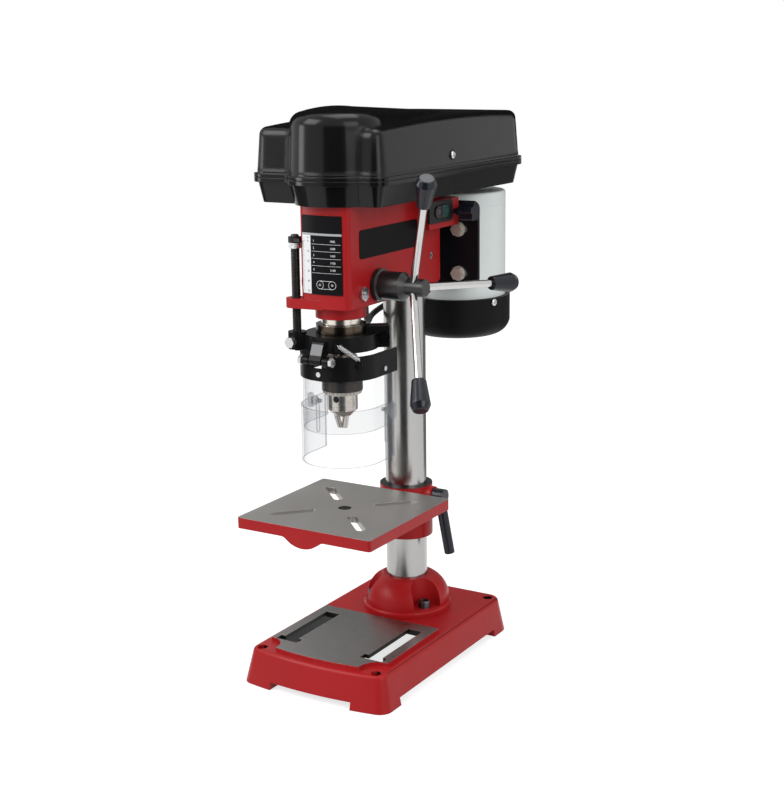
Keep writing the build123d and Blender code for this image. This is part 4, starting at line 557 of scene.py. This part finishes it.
def clearFinish(name, look):
    # thin clear plastic: nearly unseen face on, stronger towards its rims
    finish, tree, shader = bareFinish(name)
    skin = placeGroup(tree, coatedSkin, look)
    rim = put(tree, "ShaderNodeLayerWeight")
    feed(tree, rim, {"Blend": look["rimBlend"]})
    strength = maths(tree, "POWER", rim.outputs["Facing"], look["rimPower"])
    wall = mixValue(tree, strength, look["seenThrough"], look["seenEdge"])
    # the cut rims and slots look fuller than the walls, which stand square to the way out
    parts = placeParts(tree)
    ahead = maths(tree, "MINIMUM", maths(tree, "SUBTRACT", parts["Y"], look["axisY"] * mm), 0.0)
    out = put(tree, "ShaderNodeCombineXYZ")
    feed(tree, out, {"X": parts["X"], "Y": ahead})
    way = vectors(tree, "NORMALIZE", out.outputs[0])
    facing = put(tree, "ShaderNodeTexCoord").outputs["Normal"]
    alike = vectors(tree, "DOT_PRODUCT", way, facing, result="Value")
    cut = maths(tree, "LESS_THAN", maths(tree, "ABSOLUTE", alike), look["cutTurn"])
    alpha = maths(tree, "MAXIMUM", wall, maths(tree, "MULTIPLY", cut, look["seenRim"]))
    feed(tree, shader, {"Base Color": skin["Color"], "Roughness": skin["Roughness"], "Alpha": alpha})
    softEdges(tree, shader, skin["Height"], 0.0, look["bump"], coatedRelief)
    return finish


labelPrint = {"color": (0.0065, 0.0065, 0.0075), "roughness": 0.34, "cloudDepth": 0.05, "peelScale": 800.0,
              "specular": 0.05, "bump": 0.05, "strip": (0.82, 0.83, 0.84), "band": (0.42, 0.43, 0.44),
              "left": -23.4, "right": 23.4, "low": 420.4, "stripRight": -12.2, "bandLow": 479.2,
              "bandHigh": 481.4, "zero": 473.0}


def printedFinish(name, look):
    # the dark front plate with its pale band and the white depth strip; the side plate stays bare
    finish, tree, shader = bareFinish(name)
    skin = placeGroup(tree, coatedSkin, look)
    strip = inBox(tree, {"X": (look["left"], look["stripRight"]), "Z": (look["low"], look["bandLow"])})
    band = inBox(tree, {"X": (look["left"], look["right"]), "Z": (look["bandLow"], look["bandHigh"])})
    color = mixColor(tree, strip, skin["Color"], solid(look["strip"]))
    color = mixColor(tree, band, color, solid(look["band"]))
    feed(tree, shader, {
        "Base Color": color, "Roughness": skin["Roughness"], "Specular IOR Level": look["specular"]})
    softEdges(tree, shader, skin["Height"], 0.0, look["bump"], coatedRelief)
    return finish


paintFinish = coatedFinish("redCasting", redPaint)
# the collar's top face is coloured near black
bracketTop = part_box("table_bracket")[1].z / mm
darkTopDepth = 0.2
bracketPaint = dict(redPaint, darkTop={"level": bracketTop - darkTopDepth, "color": (0.012, 0.010, 0.010)})
blackCover = coatedFinish("coverGlossBlack", coverBlack)
blackSatin = coatedFinish("satinBlackMetal", satinBlack)
blackBand = coatedFinish("guardBlack", bandBlack)
blackMoulded = coatedFinish("mouldedBlack", mouldedBlack)
zinc = grainFinish("zincPlate", zincPlate)
chrome = grainFinish("leverChrome", leverChrome)
steelInside = grainFinish("innerSteel", innerSteel)
steelQuill = grainFinish("quillSteel", quillSteel)
rubber = coatedFinish("rubberBlack", rubberBlack)
clearShield = clearFinish("shieldClear", shieldClear)
chuckGround = ringFinish("chuckGround", chuckBare)
pulleyBare = ringFinish("pulleyTurned", pulleyTurned)
knobFinish = coatedFinish("knobBlueBlack", knobBlack)
motorPaint = coatedFinish("motorGrey", motorGrey)
fanCoverFinish = coatedFinish("fanCoverBlack", fanBlack)
whiteInk = coatedFinish("whiteInk", dict(plainInk, color=(0.80, 0.81, 0.82)))
darkInk = coatedFinish("darkInk", dict(plainInk, color=(0.03, 0.03, 0.032)))
greyInk = coatedFinish("greyInk", dict(plainInk, color=(0.16, 0.18, 0.18)))
rodFinish = grainFinish("oiledRod", oiledRod)

nodeFinish = {
    "base_casting": castAndGround("baseCasting", baseGround),
    "table": castAndGround("tableCasting", tableGround),
    "column": grainFinish("columnSteel", columnSteel),
    "column_flange": paintFinish, "head_casting": paintFinish,
    "table_bracket": coatedFinish("bracketRed", bracketPaint),
    "flange_bolts": grainFinish("boltBlue", boltBlue),
    "head_screws": zinc, "table_tilt_bolt": zinc, "lid_hinge_pins": zinc, "motor_slide_bars": zinc,
    "guard_clamp_screws": grainFinish("clampSteel", clampSteel),
    "guard_pins": zinc, "guard_spring": zinc, "depth_stop_nut": zinc,
    "lid_screw": chrome, "fan_cover_screws": chrome, "feed_levers": chrome,
    "label_plates": printedFinish("labelPrint", labelPrint),
    "switch_plate": blackMoulded, "lead_gland": blackMoulded, "belt_tension_knob": knobFinish,
    "depth_pointer": blackMoulded, "feed_knobs": knobFinish,
    "belt_cover_tray": blackCover, "belt_cover_lid": blackCover,
    "spring_cap": blackSatin, "feed_hub": blackSatin, "table_clamp_lever": knobFinish,
    "guard_holder": coatedFinish("holderBlack", holderBlack), "guard_band": blackBand,
    "on_button": coatedFinish("buttonGreen", buttonGreen),
    "off_button": coatedFinish("buttonDark", buttonDark),
    "motor_plate": coatedFinish("motorPlateBlack", plateBlack),
    "motor_plate_bolts": grainFinish("nickelWarm", nickelWarm),
    "motor_body": motorPaint, "motor_top_bell": motorPaint,
    "motor_fan_cover": fanCoverFinish, "cooling_fan": fanCoverFinish,
    "pulley_bearings": steelInside, "quill_bearings": steelInside, "stator_and_bearings": steelInside,
    "motor_rotor": steelInside, "feed_shaft": steelInside,
    "motor_pulley": pulleyBare, "spindle_pulley": pulleyBare,
    "return_spring": grainFinish("stripBlue", stripBlue),
    "quill": steelQuill, "spindle": grainFinish("spindleSteel", spindleSteel), "depth_rod": rodFinish,
    "chuck_body": chuckGround,
    "chuck_jaw_1": chuckGround, "chuck_jaw_2": chuckGround, "chuck_jaw_3": chuckGround,
    "chuck_sleeve": ringFinish("chuckOiled", chuckOiled),
    "guard_upper": clearShield, "guard_lower": clearShield,
    "guard_wing_screws": clearFinish("wingClear", wingClear),
    "drive_belt": rubber, "motor_lead": rubber,
}
for nodeName, finish in nodeFinish.items():
    wear(nodes[nodeName], finish)
print("finishes on", len(nodeFinish), "nodes")


# Motor lead: held at the gland and at the motor, so it bends between the two
leadRun = {"diameter": 6.5, "length": 0.169, "sides": 5, "steps": 10, "points": [
    (-8, -6, 406), (-8, -6, 389), (-12, 3, 376.5), (-21, 20, 371), (-36, 50, 373), (-36, 76, 379),
    (-27, 97.03, 386), (-18, 112.03, 390), (-18, 129.03, 390)]}


def routeCurve(name, points, bevel, sides, steps):
    letGo()
    bpy.ops.curve.primitive_nurbs_path_add()
    curve = named(name)
    curve.data.splines.clear()
    spline = curve.data.splines.new("NURBS")
    spline.points.add(len(points) - 1)
    for control, place in zip(spline.points, points):
        control.co = (*[value * mm for value in place], 1)
    spline.order_u = 3
    spline.use_endpoint_u = True
    spline.resolution_u = steps
    curve.data.dimensions = "3D"
    curve.data.bevel_depth = bevel * mm
    curve.data.bevel_resolution = sides
    curve.data.use_fill_caps = True
    return curve


def routePoints(curve):
    depth = curve.data.bevel_depth
    curve.data.bevel_depth = 0
    bpy.context.view_layer.update()
    line = bpy.data.meshes.new_from_object(curve.evaluated_get(bpy.context.evaluated_depsgraph_get()))
    points = [tuple(vertex.co) for vertex in line.vertices]
    bpy.data.meshes.remove(line)
    curve.data.bevel_depth = depth
    return points


def tubeMesh(curve, finish, angle):
    name = curve.name
    pick(curve)
    bpy.ops.object.convert(target="MESH")
    piece = settle(named(name))
    wear(piece, finish)
    smoothBy(piece, angle)
    return piece


leadCurve = routeCurve("motorLeadTube", leadRun["points"], leadRun["diameter"] / 2, leadRun["sides"],
                       leadRun["steps"])
leadPath = routePoints(leadCurve)
motorLead = tubeMesh(leadCurve, rubber, 50)
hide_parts("motor_lead")
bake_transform(motorLead)
print("motor lead made, length", round(sum(math.dist(a, b) for a, b in zip(leadPath, leadPath[1:])), 4))


# Guard spring: an open coil with a hook at each end, between the holder's post and the band's
coilRun = {"start": (21.0, -105.5, 371.0), "end": (39.0, -93.0, 355.0), "wire": 0.85, "radius": 2.4,
           "loops": 20, "lead": 1.6, "stepsPerLoop": 16, "hookRadius": 1.7, "hookTip": 0.4, "sides": 2,
           "steps": 2}


def coilPoints(run):
    start, end = Vector(run["start"]), Vector(run["end"])
    axis = (end - start).normalized()
    across = axis.cross(Vector((0, 0, 1))).normalized()
    over = axis.cross(across)
    length = (end - start).length - 2 * run["lead"]
    points = []
    count = run["loops"] * run["stepsPerLoop"]
    for n in range(count + 1):
        angle = 2 * math.pi * n / run["stepsPerLoop"]
        centre = start + axis * (run["lead"] + length * n / count)
        points.append(centre + (across * math.cos(angle) + over * math.sin(angle)) * run["radius"])
    # each end bends in to the axis and out to its post
    bend = across * run["hookRadius"]
    tip = axis * (run["hookTip"] * run["hookRadius"])
    first = [start - tip, start + bend]
    last = [end + bend, end + tip]
    return first + points + last


coilCurve = routeCurve("guardCoil", coilPoints(coilRun), coilRun["wire"] / 2, coilRun["sides"],
                       coilRun["steps"])
guardCoil = tubeMesh(coilCurve, zinc, 60)
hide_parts("guard_spring")
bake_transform(guardCoil)
print("guard spring made,", len(guardCoil.data.vertices), "points")


# Depth rod with its rolled thread
rodCut = {"x": -36.0, "y": -93.0, "low": 359.0, "high": 478.0, "crest": 4.74, "root": 4.15, "pitch": 1.5,
          "threadLow": 362.0, "plainTop": 1.5, "halfRidge": 0.48, "sunk": 0.3, "merge": 0.01, "steps": 24,
          "tip": 3.4, "lowChamfer": 0.8, "highChamfer": 1.2, "coreSteps": 28}


def threadRidge(name, cut):
    # a small triangle wound up the rod by the screw modifier
    turns = int((cut["high"] - cut["plainTop"] - cut["threadLow"]) / cut["pitch"])
    letGo()
    bpy.ops.mesh.primitive_circle_add(vertices=3, radius=1.0, fill_type="NOTHING")
    piece = named(name)
    half = cut["halfRidge"] * cut["pitch"]
    inner = cut["root"] - cut["sunk"]
    corners = [(cut["crest"], 0.0), (inner, half), (inner, -half)]
    for vertex, (reach, rise) in zip(piece.data.vertices, corners):
        vertex.co = (reach * mm, 0, rise * mm)
    useModifier(piece, "SCREW", axis="Z", angle=2 * math.pi, screw_offset=cut["pitch"] * mm, iterations=turns,
                steps=cut["steps"], render_steps=cut["steps"], use_merge_vertices=False)
    bpy.ops.object.mode_set(mode="EDIT")
    bpy.ops.mesh.select_mode(type="VERT")
    bpy.ops.mesh.select_all(action="SELECT")
    bpy.ops.mesh.remove_doubles(threshold=cut["merge"] * mm)
    bpy.ops.mesh.select_all(action="DESELECT")
    bpy.ops.mesh.select_non_manifold(extend=False)
    bpy.ops.mesh.fill()
    bpy.ops.mesh.select_all(action="SELECT")
    bpy.ops.mesh.normals_make_consistent(inside=False)
    bpy.ops.object.mode_set(mode="OBJECT")
    return stand(piece, (cut["x"] * mm, cut["y"] * mm, cut["threadLow"] * mm), (0, 0, 1))


rodLength = rodCut["high"] - rodCut["low"]
rodCore = latheRings("rodCore", [
    (rodCut["tip"], 0.0), (rodCut["root"], rodCut["lowChamfer"]),
    (rodCut["root"], rodLength - rodCut["highChamfer"]), (rodCut["tip"], rodLength)], rodCut["coreSteps"])
stand(rodCore, (rodCut["x"] * mm, rodCut["y"] * mm, rodCut["low"] * mm), (0, 0, 1))
depthRod = joined("depthRodThread", [rodCore, threadRidge("rodRidge", rodCut)])
wear(depthRod, rodFinish)
smoothBy(depthRod, 35)
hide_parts("depth_rod")
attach(depthRod, "quill")
print("depth rod made,", len(depthRod.data.vertices), "points")


# Pan-head screws with a cross recess
panScrew = {"profile": [(0.94, 0.0), (1.0, 0.12), (1.0, 0.45), (0.9, 0.74), (0.68, 0.92), (0.36, 1.0)],
            "recessWidth": 1.1, "recessLength": 4.4, "recessDepth": 1.3, "bevel": 0.12, "steps": 32}


def crossScrew(name, radius, height, cut):
    # the profile is in shares of the head's radius and height
    head = latheRings(name, [(wide * radius, up * height) for wide, up in cut["profile"]], cut["steps"])
    for turn in (45, 135):
        letGo()
        bpy.ops.mesh.primitive_cube_add(size=1, rotation=(0, 0, math.radians(turn)))
        cutter = named("recessCutter")
        cutter.scale = (cut["recessLength"] * mm, cut["recessWidth"] * mm, 2 * cut["recessDepth"] * mm)
        cutter.location = (0, 0, height * mm)
        settle(cutter)
        useModifier(head, "BOOLEAN", operation="DIFFERENCE", object=cutter, solver="EXACT")
        bpy.data.objects.remove(cutter)
    useModifier(head, "BEVEL", width=cut["bevel"] * mm, segments=2, limit_method="ANGLE",
                angle_limit=math.radians(40))
    smoothBy(head, 40)
    return head


lidHead = {"x": 65.07, "y": 53.0, "z": 549.5, "radius": 4.2, "height": 2.55}
lidScrew = crossScrew("lidScrewHead", lidHead["radius"], lidHead["height"], panScrew)
stand(lidScrew, (lidHead["x"] * mm, lidHead["y"] * mm, lidHead["z"] * mm), (1, 0, 0))
wear(lidScrew, chrome)
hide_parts("lid_screw")
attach(lidScrew, "lid")

fanHeads = {"angles": (-19.0, 101.0, 221.0), "reach": 60.55, "y": 183.0, "z": 376.5, "radius": 4.0,
            "height": 2.3}
fanPattern = crossScrew("fanScrewPattern", fanHeads["radius"], fanHeads["height"], panScrew)
fanScrews = []
for angle in fanHeads["angles"]:
    way = Vector((math.cos(math.radians(angle)), math.sin(math.radians(angle)), 0))
    place = (Vector((0, fanHeads["y"], fanHeads["z"])) + way * fanHeads["reach"]) * mm
    fanScrews.append(stand(copied(fanPattern, "fanScrewHead"), place, way))
bpy.data.objects.remove(fanPattern)
fanScrewSet = joined("fanScrewHeads", fanScrews)
wear(fanScrewSet, chrome)
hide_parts("fan_cover_screws")
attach(fanScrewSet, "motor")
print("cross-recess screws made")


# Feed knobs: tapered grips with a rounded crown, one shape copied to the three levers
knobForm = {"rings": [(4.1, 0.0), (6.6, 0.0), (7.3, 0.25), (7.5, 0.8), (8.4, 9.0), (9.6, 19.0),
                      (10.25, 25.0), (10.42, 26.4), (10.35, 27.0), (10.0, 27.6), (8.6, 31.2), (7.9, 32.6),
                      (7.3, 33.1), (6.6, 33.2), (2.0, 33.3)],
            "steps": 40, "count": 3, "root": (71.0, -41.0, 424.0), "cone": 21.0, "first": -26.0,
            "reach": 139.0, "length": 34.0}


def leverWay(form, number):
    cone = math.radians(form["cone"])
    turn = math.radians(form["first"] + 360 / form["count"] * number)
    return Vector((math.sin(cone), math.cos(cone) * math.sin(turn), math.cos(cone) * math.cos(turn)))


knobPattern = latheRings("knobPattern", knobForm["rings"], knobForm["steps"])
useModifier(knobPattern, "SUBSURF", levels=2, render_levels=2)
knobs = []
for number in range(knobForm["count"]):
    way = leverWay(knobForm, number)
    place = (Vector(knobForm["root"]) + way * (knobForm["reach"] - knobForm["length"])) * mm
    knobs.append(stand(copied(knobPattern, "feedKnob"), place, way))
bpy.data.objects.remove(knobPattern)
feedKnobs = joined("feedKnobGrips", knobs)
wear(feedKnobs, knobFinish)
smoothBy(feedKnobs, 60)
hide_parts("feed_knobs")
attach(feedKnobs, "feed")
print("feed knobs made")


# Print on the front plate: depth numbers, tick marks and five speed rows
labelCurve = {"centreY": -3.85, "radius": 97.05, "lift": 0.03, "thick": 0.04, "cell": 3.0}


def wrapOnPlate(piece):
    # lays a flat print in the XZ plane onto the bowed plate
    for vertex in piece.data.vertices:
        reach = labelCurve["radius"] + labelCurve["lift"] - vertex.co.y / mm
        across = vertex.co.x / mm
        vertex.co.y = (labelCurve["centreY"] - math.sqrt(reach**2 - across**2)) * mm
    pick(piece)
    return piece


def flatPrint(piece):
    useModifier(piece, "SOLIDIFY", thickness=labelCurve["thick"] * mm, offset=1.0)
    return piece


def words(name, text, size, x, z):
    letGo()
    bpy.ops.object.text_add(
        radius=size * mm, rotation=(math.radians(90), 0, 0), location=(x * mm, 0, z * mm))
    piece = bpy.context.object
    piece.data.body = text
    piece.data.align_x = "CENTER"
    piece.data.align_y = "CENTER"
    piece.data.resolution_u = 3
    bpy.ops.object.convert(target="MESH")
    return flatPrint(settle(named(name)))


def bar(name, left, right, low, high):
    letGo()
    bpy.ops.mesh.primitive_grid_add(
        x_subdivisions=max(1, int((right - left) / labelCurve["cell"])), y_subdivisions=1, size=1,
        rotation=(math.radians(90), 0, 0), location=((left + right) / 2 * mm, 0, (low + high) / 2 * mm))
    piece = named(name)
    piece.scale = ((right - left) * mm, (high - low) * mm, 1)
    return flatPrint(settle(piece))


scaleMarks = {"left": -22.9, "short": 1.5, "middle": 2.2, "long": 3.2, "thin": 0.16, "travel": 50,
              "textX": -15.6, "number": 3.0, "unit": 1.9, "unitZ": 476.9}
marks = []
for step in range(scaleMarks["travel"] + 1):
    reach = scaleMarks["long" if step % 10 == 0 else "middle" if step % 5 == 0 else "short"]
    height = labelPrint["zero"] - step
    marks.append(bar("tick", scaleMarks["left"], scaleMarks["left"] + reach,
                     height - scaleMarks["thin"] / 2, height + scaleMarks["thin"] / 2))
    if step % 10 == 0:
        marks.append(words("depth", str(step), scaleMarks["number"], scaleMarks["textX"], height))
marks.append(words("unit", "mm", scaleMarks["unit"], scaleMarks["textX"], scaleMarks["unitZ"]))
depthScale = wrapOnPlate(joined("depthScalePrint", marks))
wear(depthScale, darkInk)
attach(depthScale, "stand")

speedRows = {"left": -11.0, "right": 22.2, "top": 477.4, "pitch": 7.2, "line": 0.25, "lineDrop": 3.3,
             "step": 3.2, "stepIn": 2.6, "speed": 2.9, "speedIn": 8.5,
             "speeds": ("1000", "1200", "1450", "1750", "2100")}
stepX = speedRows["left"] + speedRows["stepIn"]
speedX = speedRows["right"] - speedRows["speedIn"]
rows = []
for number, speed in enumerate(speedRows["speeds"]):
    middle = speedRows["top"] - (number + 0.5) * speedRows["pitch"]
    under = middle - speedRows["lineDrop"]
    rows.append(bar("rowLine", speedRows["left"], speedRows["right"], under, under + speedRows["line"]))
    rows.append(words("step", str(number + 1), speedRows["step"], stepX, middle))
    rows.append(words("speed", speed, speedRows["speed"], speedX, middle))
# a plain sign of two pulleys and their belt below the rows
sign = {"x": 5.6, "z": 430.0, "spread": 7.0, "pulley": 4.2, "hub": 1.1, "line": 0.35, "steps": 40}


def hoop(x, radius):
    letGo()
    bpy.ops.mesh.primitive_circle_add(
        vertices=sign["steps"], radius=radius * mm, fill_type="NGON",
        rotation=(math.radians(90), 0, 0), location=(x * mm, 0, sign["z"] * mm))
    piece = settle(named("signHoop"))
    bpy.ops.object.mode_set(mode="EDIT")
    bpy.ops.mesh.select_all(action="SELECT")
    bpy.ops.mesh.inset(thickness=sign["line"] * mm)
    bpy.ops.mesh.delete(type="FACE")
    bpy.ops.object.mode_set(mode="OBJECT")
    return flatPrint(piece)


signEnds = (sign["x"] - sign["spread"], sign["x"] + sign["spread"])
for end in signEnds:
    rows.append(hoop(end, sign["pulley"]))
    rows.append(hoop(end, sign["hub"]))
for edge in (-1, 1):
    middle = sign["z"] + edge * (sign["pulley"] - sign["line"] / 2)
    rows.append(bar("signBelt", *signEnds, middle - sign["line"] / 2, middle + sign["line"] / 2))
speedTable = wrapOnPlate(joined("speedTablePrint", rows))
wear(speedTable, whiteInk)
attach(speedTable, "stand")
print("plate print made,", len(depthScale.data.vertices) + len(speedTable.data.vertices), "points")


# Marks on the two buttons
buttonMarks = {"onMark": "I", "offMark": "O", "size": 6.0, "lift": 0.02}


def buttonMark(name, text, node, body):
    low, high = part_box(node)
    piece = words(name, text, buttonMarks["size"], 0, 0)
    place = (high.x + buttonMarks["lift"] * mm, (low.y + high.y) / 2, (low.z + high.z) / 2)
    piece.matrix_world = Matrix.Translation(place) @ Matrix.Rotation(math.radians(90), 4, "Z")
    settle(piece)
    wear(piece, greyInk)
    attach(piece, body)


buttonMark("onMark", buttonMarks["onMark"], "on_button", "on_button")
buttonMark("offMark", buttonMarks["offMark"], "off_button", "off_button")
print("button marks made")


# Drive belt: a merged copy of the belt with its edges rounded
beltForm = {"merge": 0.002, "bevel": 0.4}


def mergedCopy(node, name):
    piece = copied(nodes[node], name)
    piece.parent = None
    for key in list(piece.keys()):
        del piece[key]
    pick(piece)
    bpy.ops.object.mode_set(mode="EDIT")
    bpy.ops.mesh.select_all(action="SELECT")
    bpy.ops.mesh.remove_doubles(threshold=beltForm["merge"] * mm)
    bpy.ops.object.mode_set(mode="OBJECT")
    return piece


vBelt = mergedCopy("drive_belt", "vBelt")
useModifier(vBelt, "BEVEL", width=beltForm["bevel"] * mm, segments=2, limit_method="ANGLE",
            angle_limit=math.radians(35))
wear(vBelt, rubber)
smoothBy(vBelt, 40)
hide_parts("drive_belt")
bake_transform(vBelt)
print("drive belt made")


# Floor, light and camera
studio = {"floorSize": 9.0, "floorZ": -0.0006, "floorColor": (0.40, 0.40, 0.40), "floorRoughness": 0.9,
          "floorGlow": 0.74, "worldStrength": 0.62, "aim": (0, 0, 0.3), "white": (1, 1, 1, 1),
          "key": {"place": (-1.3, -1.7, 1.9), "size": 1.5, "power": 42.0},
          "fill": {"place": (2.1, -0.9, 1.3), "size": 1.4, "power": 17.0},
          "top": {"place": (0.1, 0.2, 2.3), "size": 1.2, "power": 16.0}}


def seenPlainly(tree):
    # one for camera, mirror and see-through rays
    path = put(tree, "ShaderNodeLightPath")
    seen = maths(tree, "MAXIMUM", path.outputs["Is Camera Ray"], path.outputs["Is Glossy Ray"])
    return maths(tree, "MAXIMUM", seen, path.outputs["Is Transmission Ray"])


world = bpy.data.worlds.new("studioWorld")
scene.world = world
world.use_nodes = True
worldTree = world.node_tree
skyLight = worldTree.nodes["Background"]
feed(worldTree, skyLight, {"Color": studio["white"], "Strength": studio["worldStrength"]})
skyWhite = put(worldTree, "ShaderNodeBackground")
feed(worldTree, skyWhite, {"Color": studio["white"]})
skyMix = put(worldTree, "ShaderNodeMixShader")
feed(worldTree, skyMix, {0: seenPlainly(worldTree), 1: skyLight.outputs[0], 2: skyWhite.outputs[0]})
feed(worldTree, worldTree.nodes["World Output"], {"Surface": skyMix.outputs[0]})

letGo()
bpy.ops.mesh.primitive_plane_add(size=studio["floorSize"], location=(0, 0, studio["floorZ"]))
floor = settle(named("studioFloor"))
floorFinish, floorTree, floorShader = bareFinish("floorPale")
feed(floorTree, floorShader, {
    "Base Color": solid(studio["floorColor"]), "Roughness": studio["floorRoughness"],
    "Specular IOR Level": 0.0, "Emission Color": studio["white"],
    "Emission Strength": maths(floorTree, "MULTIPLY", seenPlainly(floorTree), studio["floorGlow"])})
wear(floor, floorFinish)

# Cards that only mirror rays meet: dark ones keep black paint deep, a bright strip draws a line on rounds
cards = {
    "frontCard": {"way": -66.0, "reach": 0.5, "wide": 0.42, "low": 0.0, "high": 0.62, "grey": 0.03},
    "leftCard": {"way": -160.0, "reach": 0.5, "wide": 0.42, "low": 0.0, "high": 0.5, "grey": 0.12},
    "rightCard": {"way": 95.0, "reach": 0.65, "wide": 1.0, "low": 0.0, "high": 0.5, "grey": 0.22},
    "backCard": {"way": 122.0, "reach": 2.6, "wide": 5.0, "low": 0.45, "high": 1.0, "grey": 0.02},
    "lidCard": {"way": 122.0, "reach": 0.42, "wide": 1.1, "low": 0.61, "high": 1.2, "grey": 0.01},
    "leftStrip": {"way": -140.0, "reach": 0.48, "wide": 0.12, "low": 0.38, "high": 0.62, "grey": 6.0},
}
for cardName, card in cards.items():
    letGo()
    bpy.ops.mesh.primitive_plane_add(size=1)
    piece = named(cardName)
    turn = math.radians(card["way"])
    piece.scale = (card["wide"], card["high"] - card["low"], 1)
    piece.rotation_euler = (math.radians(90), 0, turn + math.radians(90))
    piece.location = (card["reach"] * math.cos(turn), card["reach"] * math.sin(turn),
                      (card["low"] + card["high"]) / 2)
    settle(piece)
    cardFinish, cardTree, cardShader = bareFinish(cardName)
    feed(cardTree, cardShader, {
        "Base Color": (0, 0, 0, 1), "Specular IOR Level": 0.0,
        "Emission Color": solid([card["grey"]] * 3), "Emission Strength": 1.0})
    wear(piece, cardFinish)
    piece.visible_camera = False
    piece.visible_diffuse = False
    piece.visible_transmission = False
    piece.visible_shadow = False

for lampName in ("key", "fill", "top"):
    lamp = studio[lampName]
    letGo()
    bpy.ops.object.light_add(type="AREA", location=lamp["place"])
    light = named(lampName + "Light")
    light.data.size = lamp["size"]
    light.data.energy = lamp["power"]
    aim = Vector(studio["aim"]) - Vector(lamp["place"])
    light.rotation_euler = aim.to_track_quat("-Z", "Y").to_euler()

shot = {"place": (0.82937, -1.33749, 0.66591), "azimuth": 31.185, "elevation": 13.168, "roll": -0.740,
        "focalPixels": 1506.06, "longSide": 787, "sensor": 36, "clipStart": 0.05}
letGo()
bpy.ops.object.camera_add()
camera = named("photoCamera")
camera.matrix_world = (
    Matrix.Translation(shot["place"]) @ Matrix.Rotation(math.radians(shot["azimuth"]), 4, "Z")
    @ Matrix.Rotation(math.radians(90 - shot["elevation"]), 4, "X")
    @ Matrix.Rotation(math.radians(shot["roll"]), 4, "Z"))
camera.data.sensor_width = shot["sensor"]
camera.data.lens = shot["sensor"] * shot["focalPixels"] / shot["longSide"]
camera.data.clip_start = shot["clipStart"]
scene.camera = camera
print("floor, light and camera set")
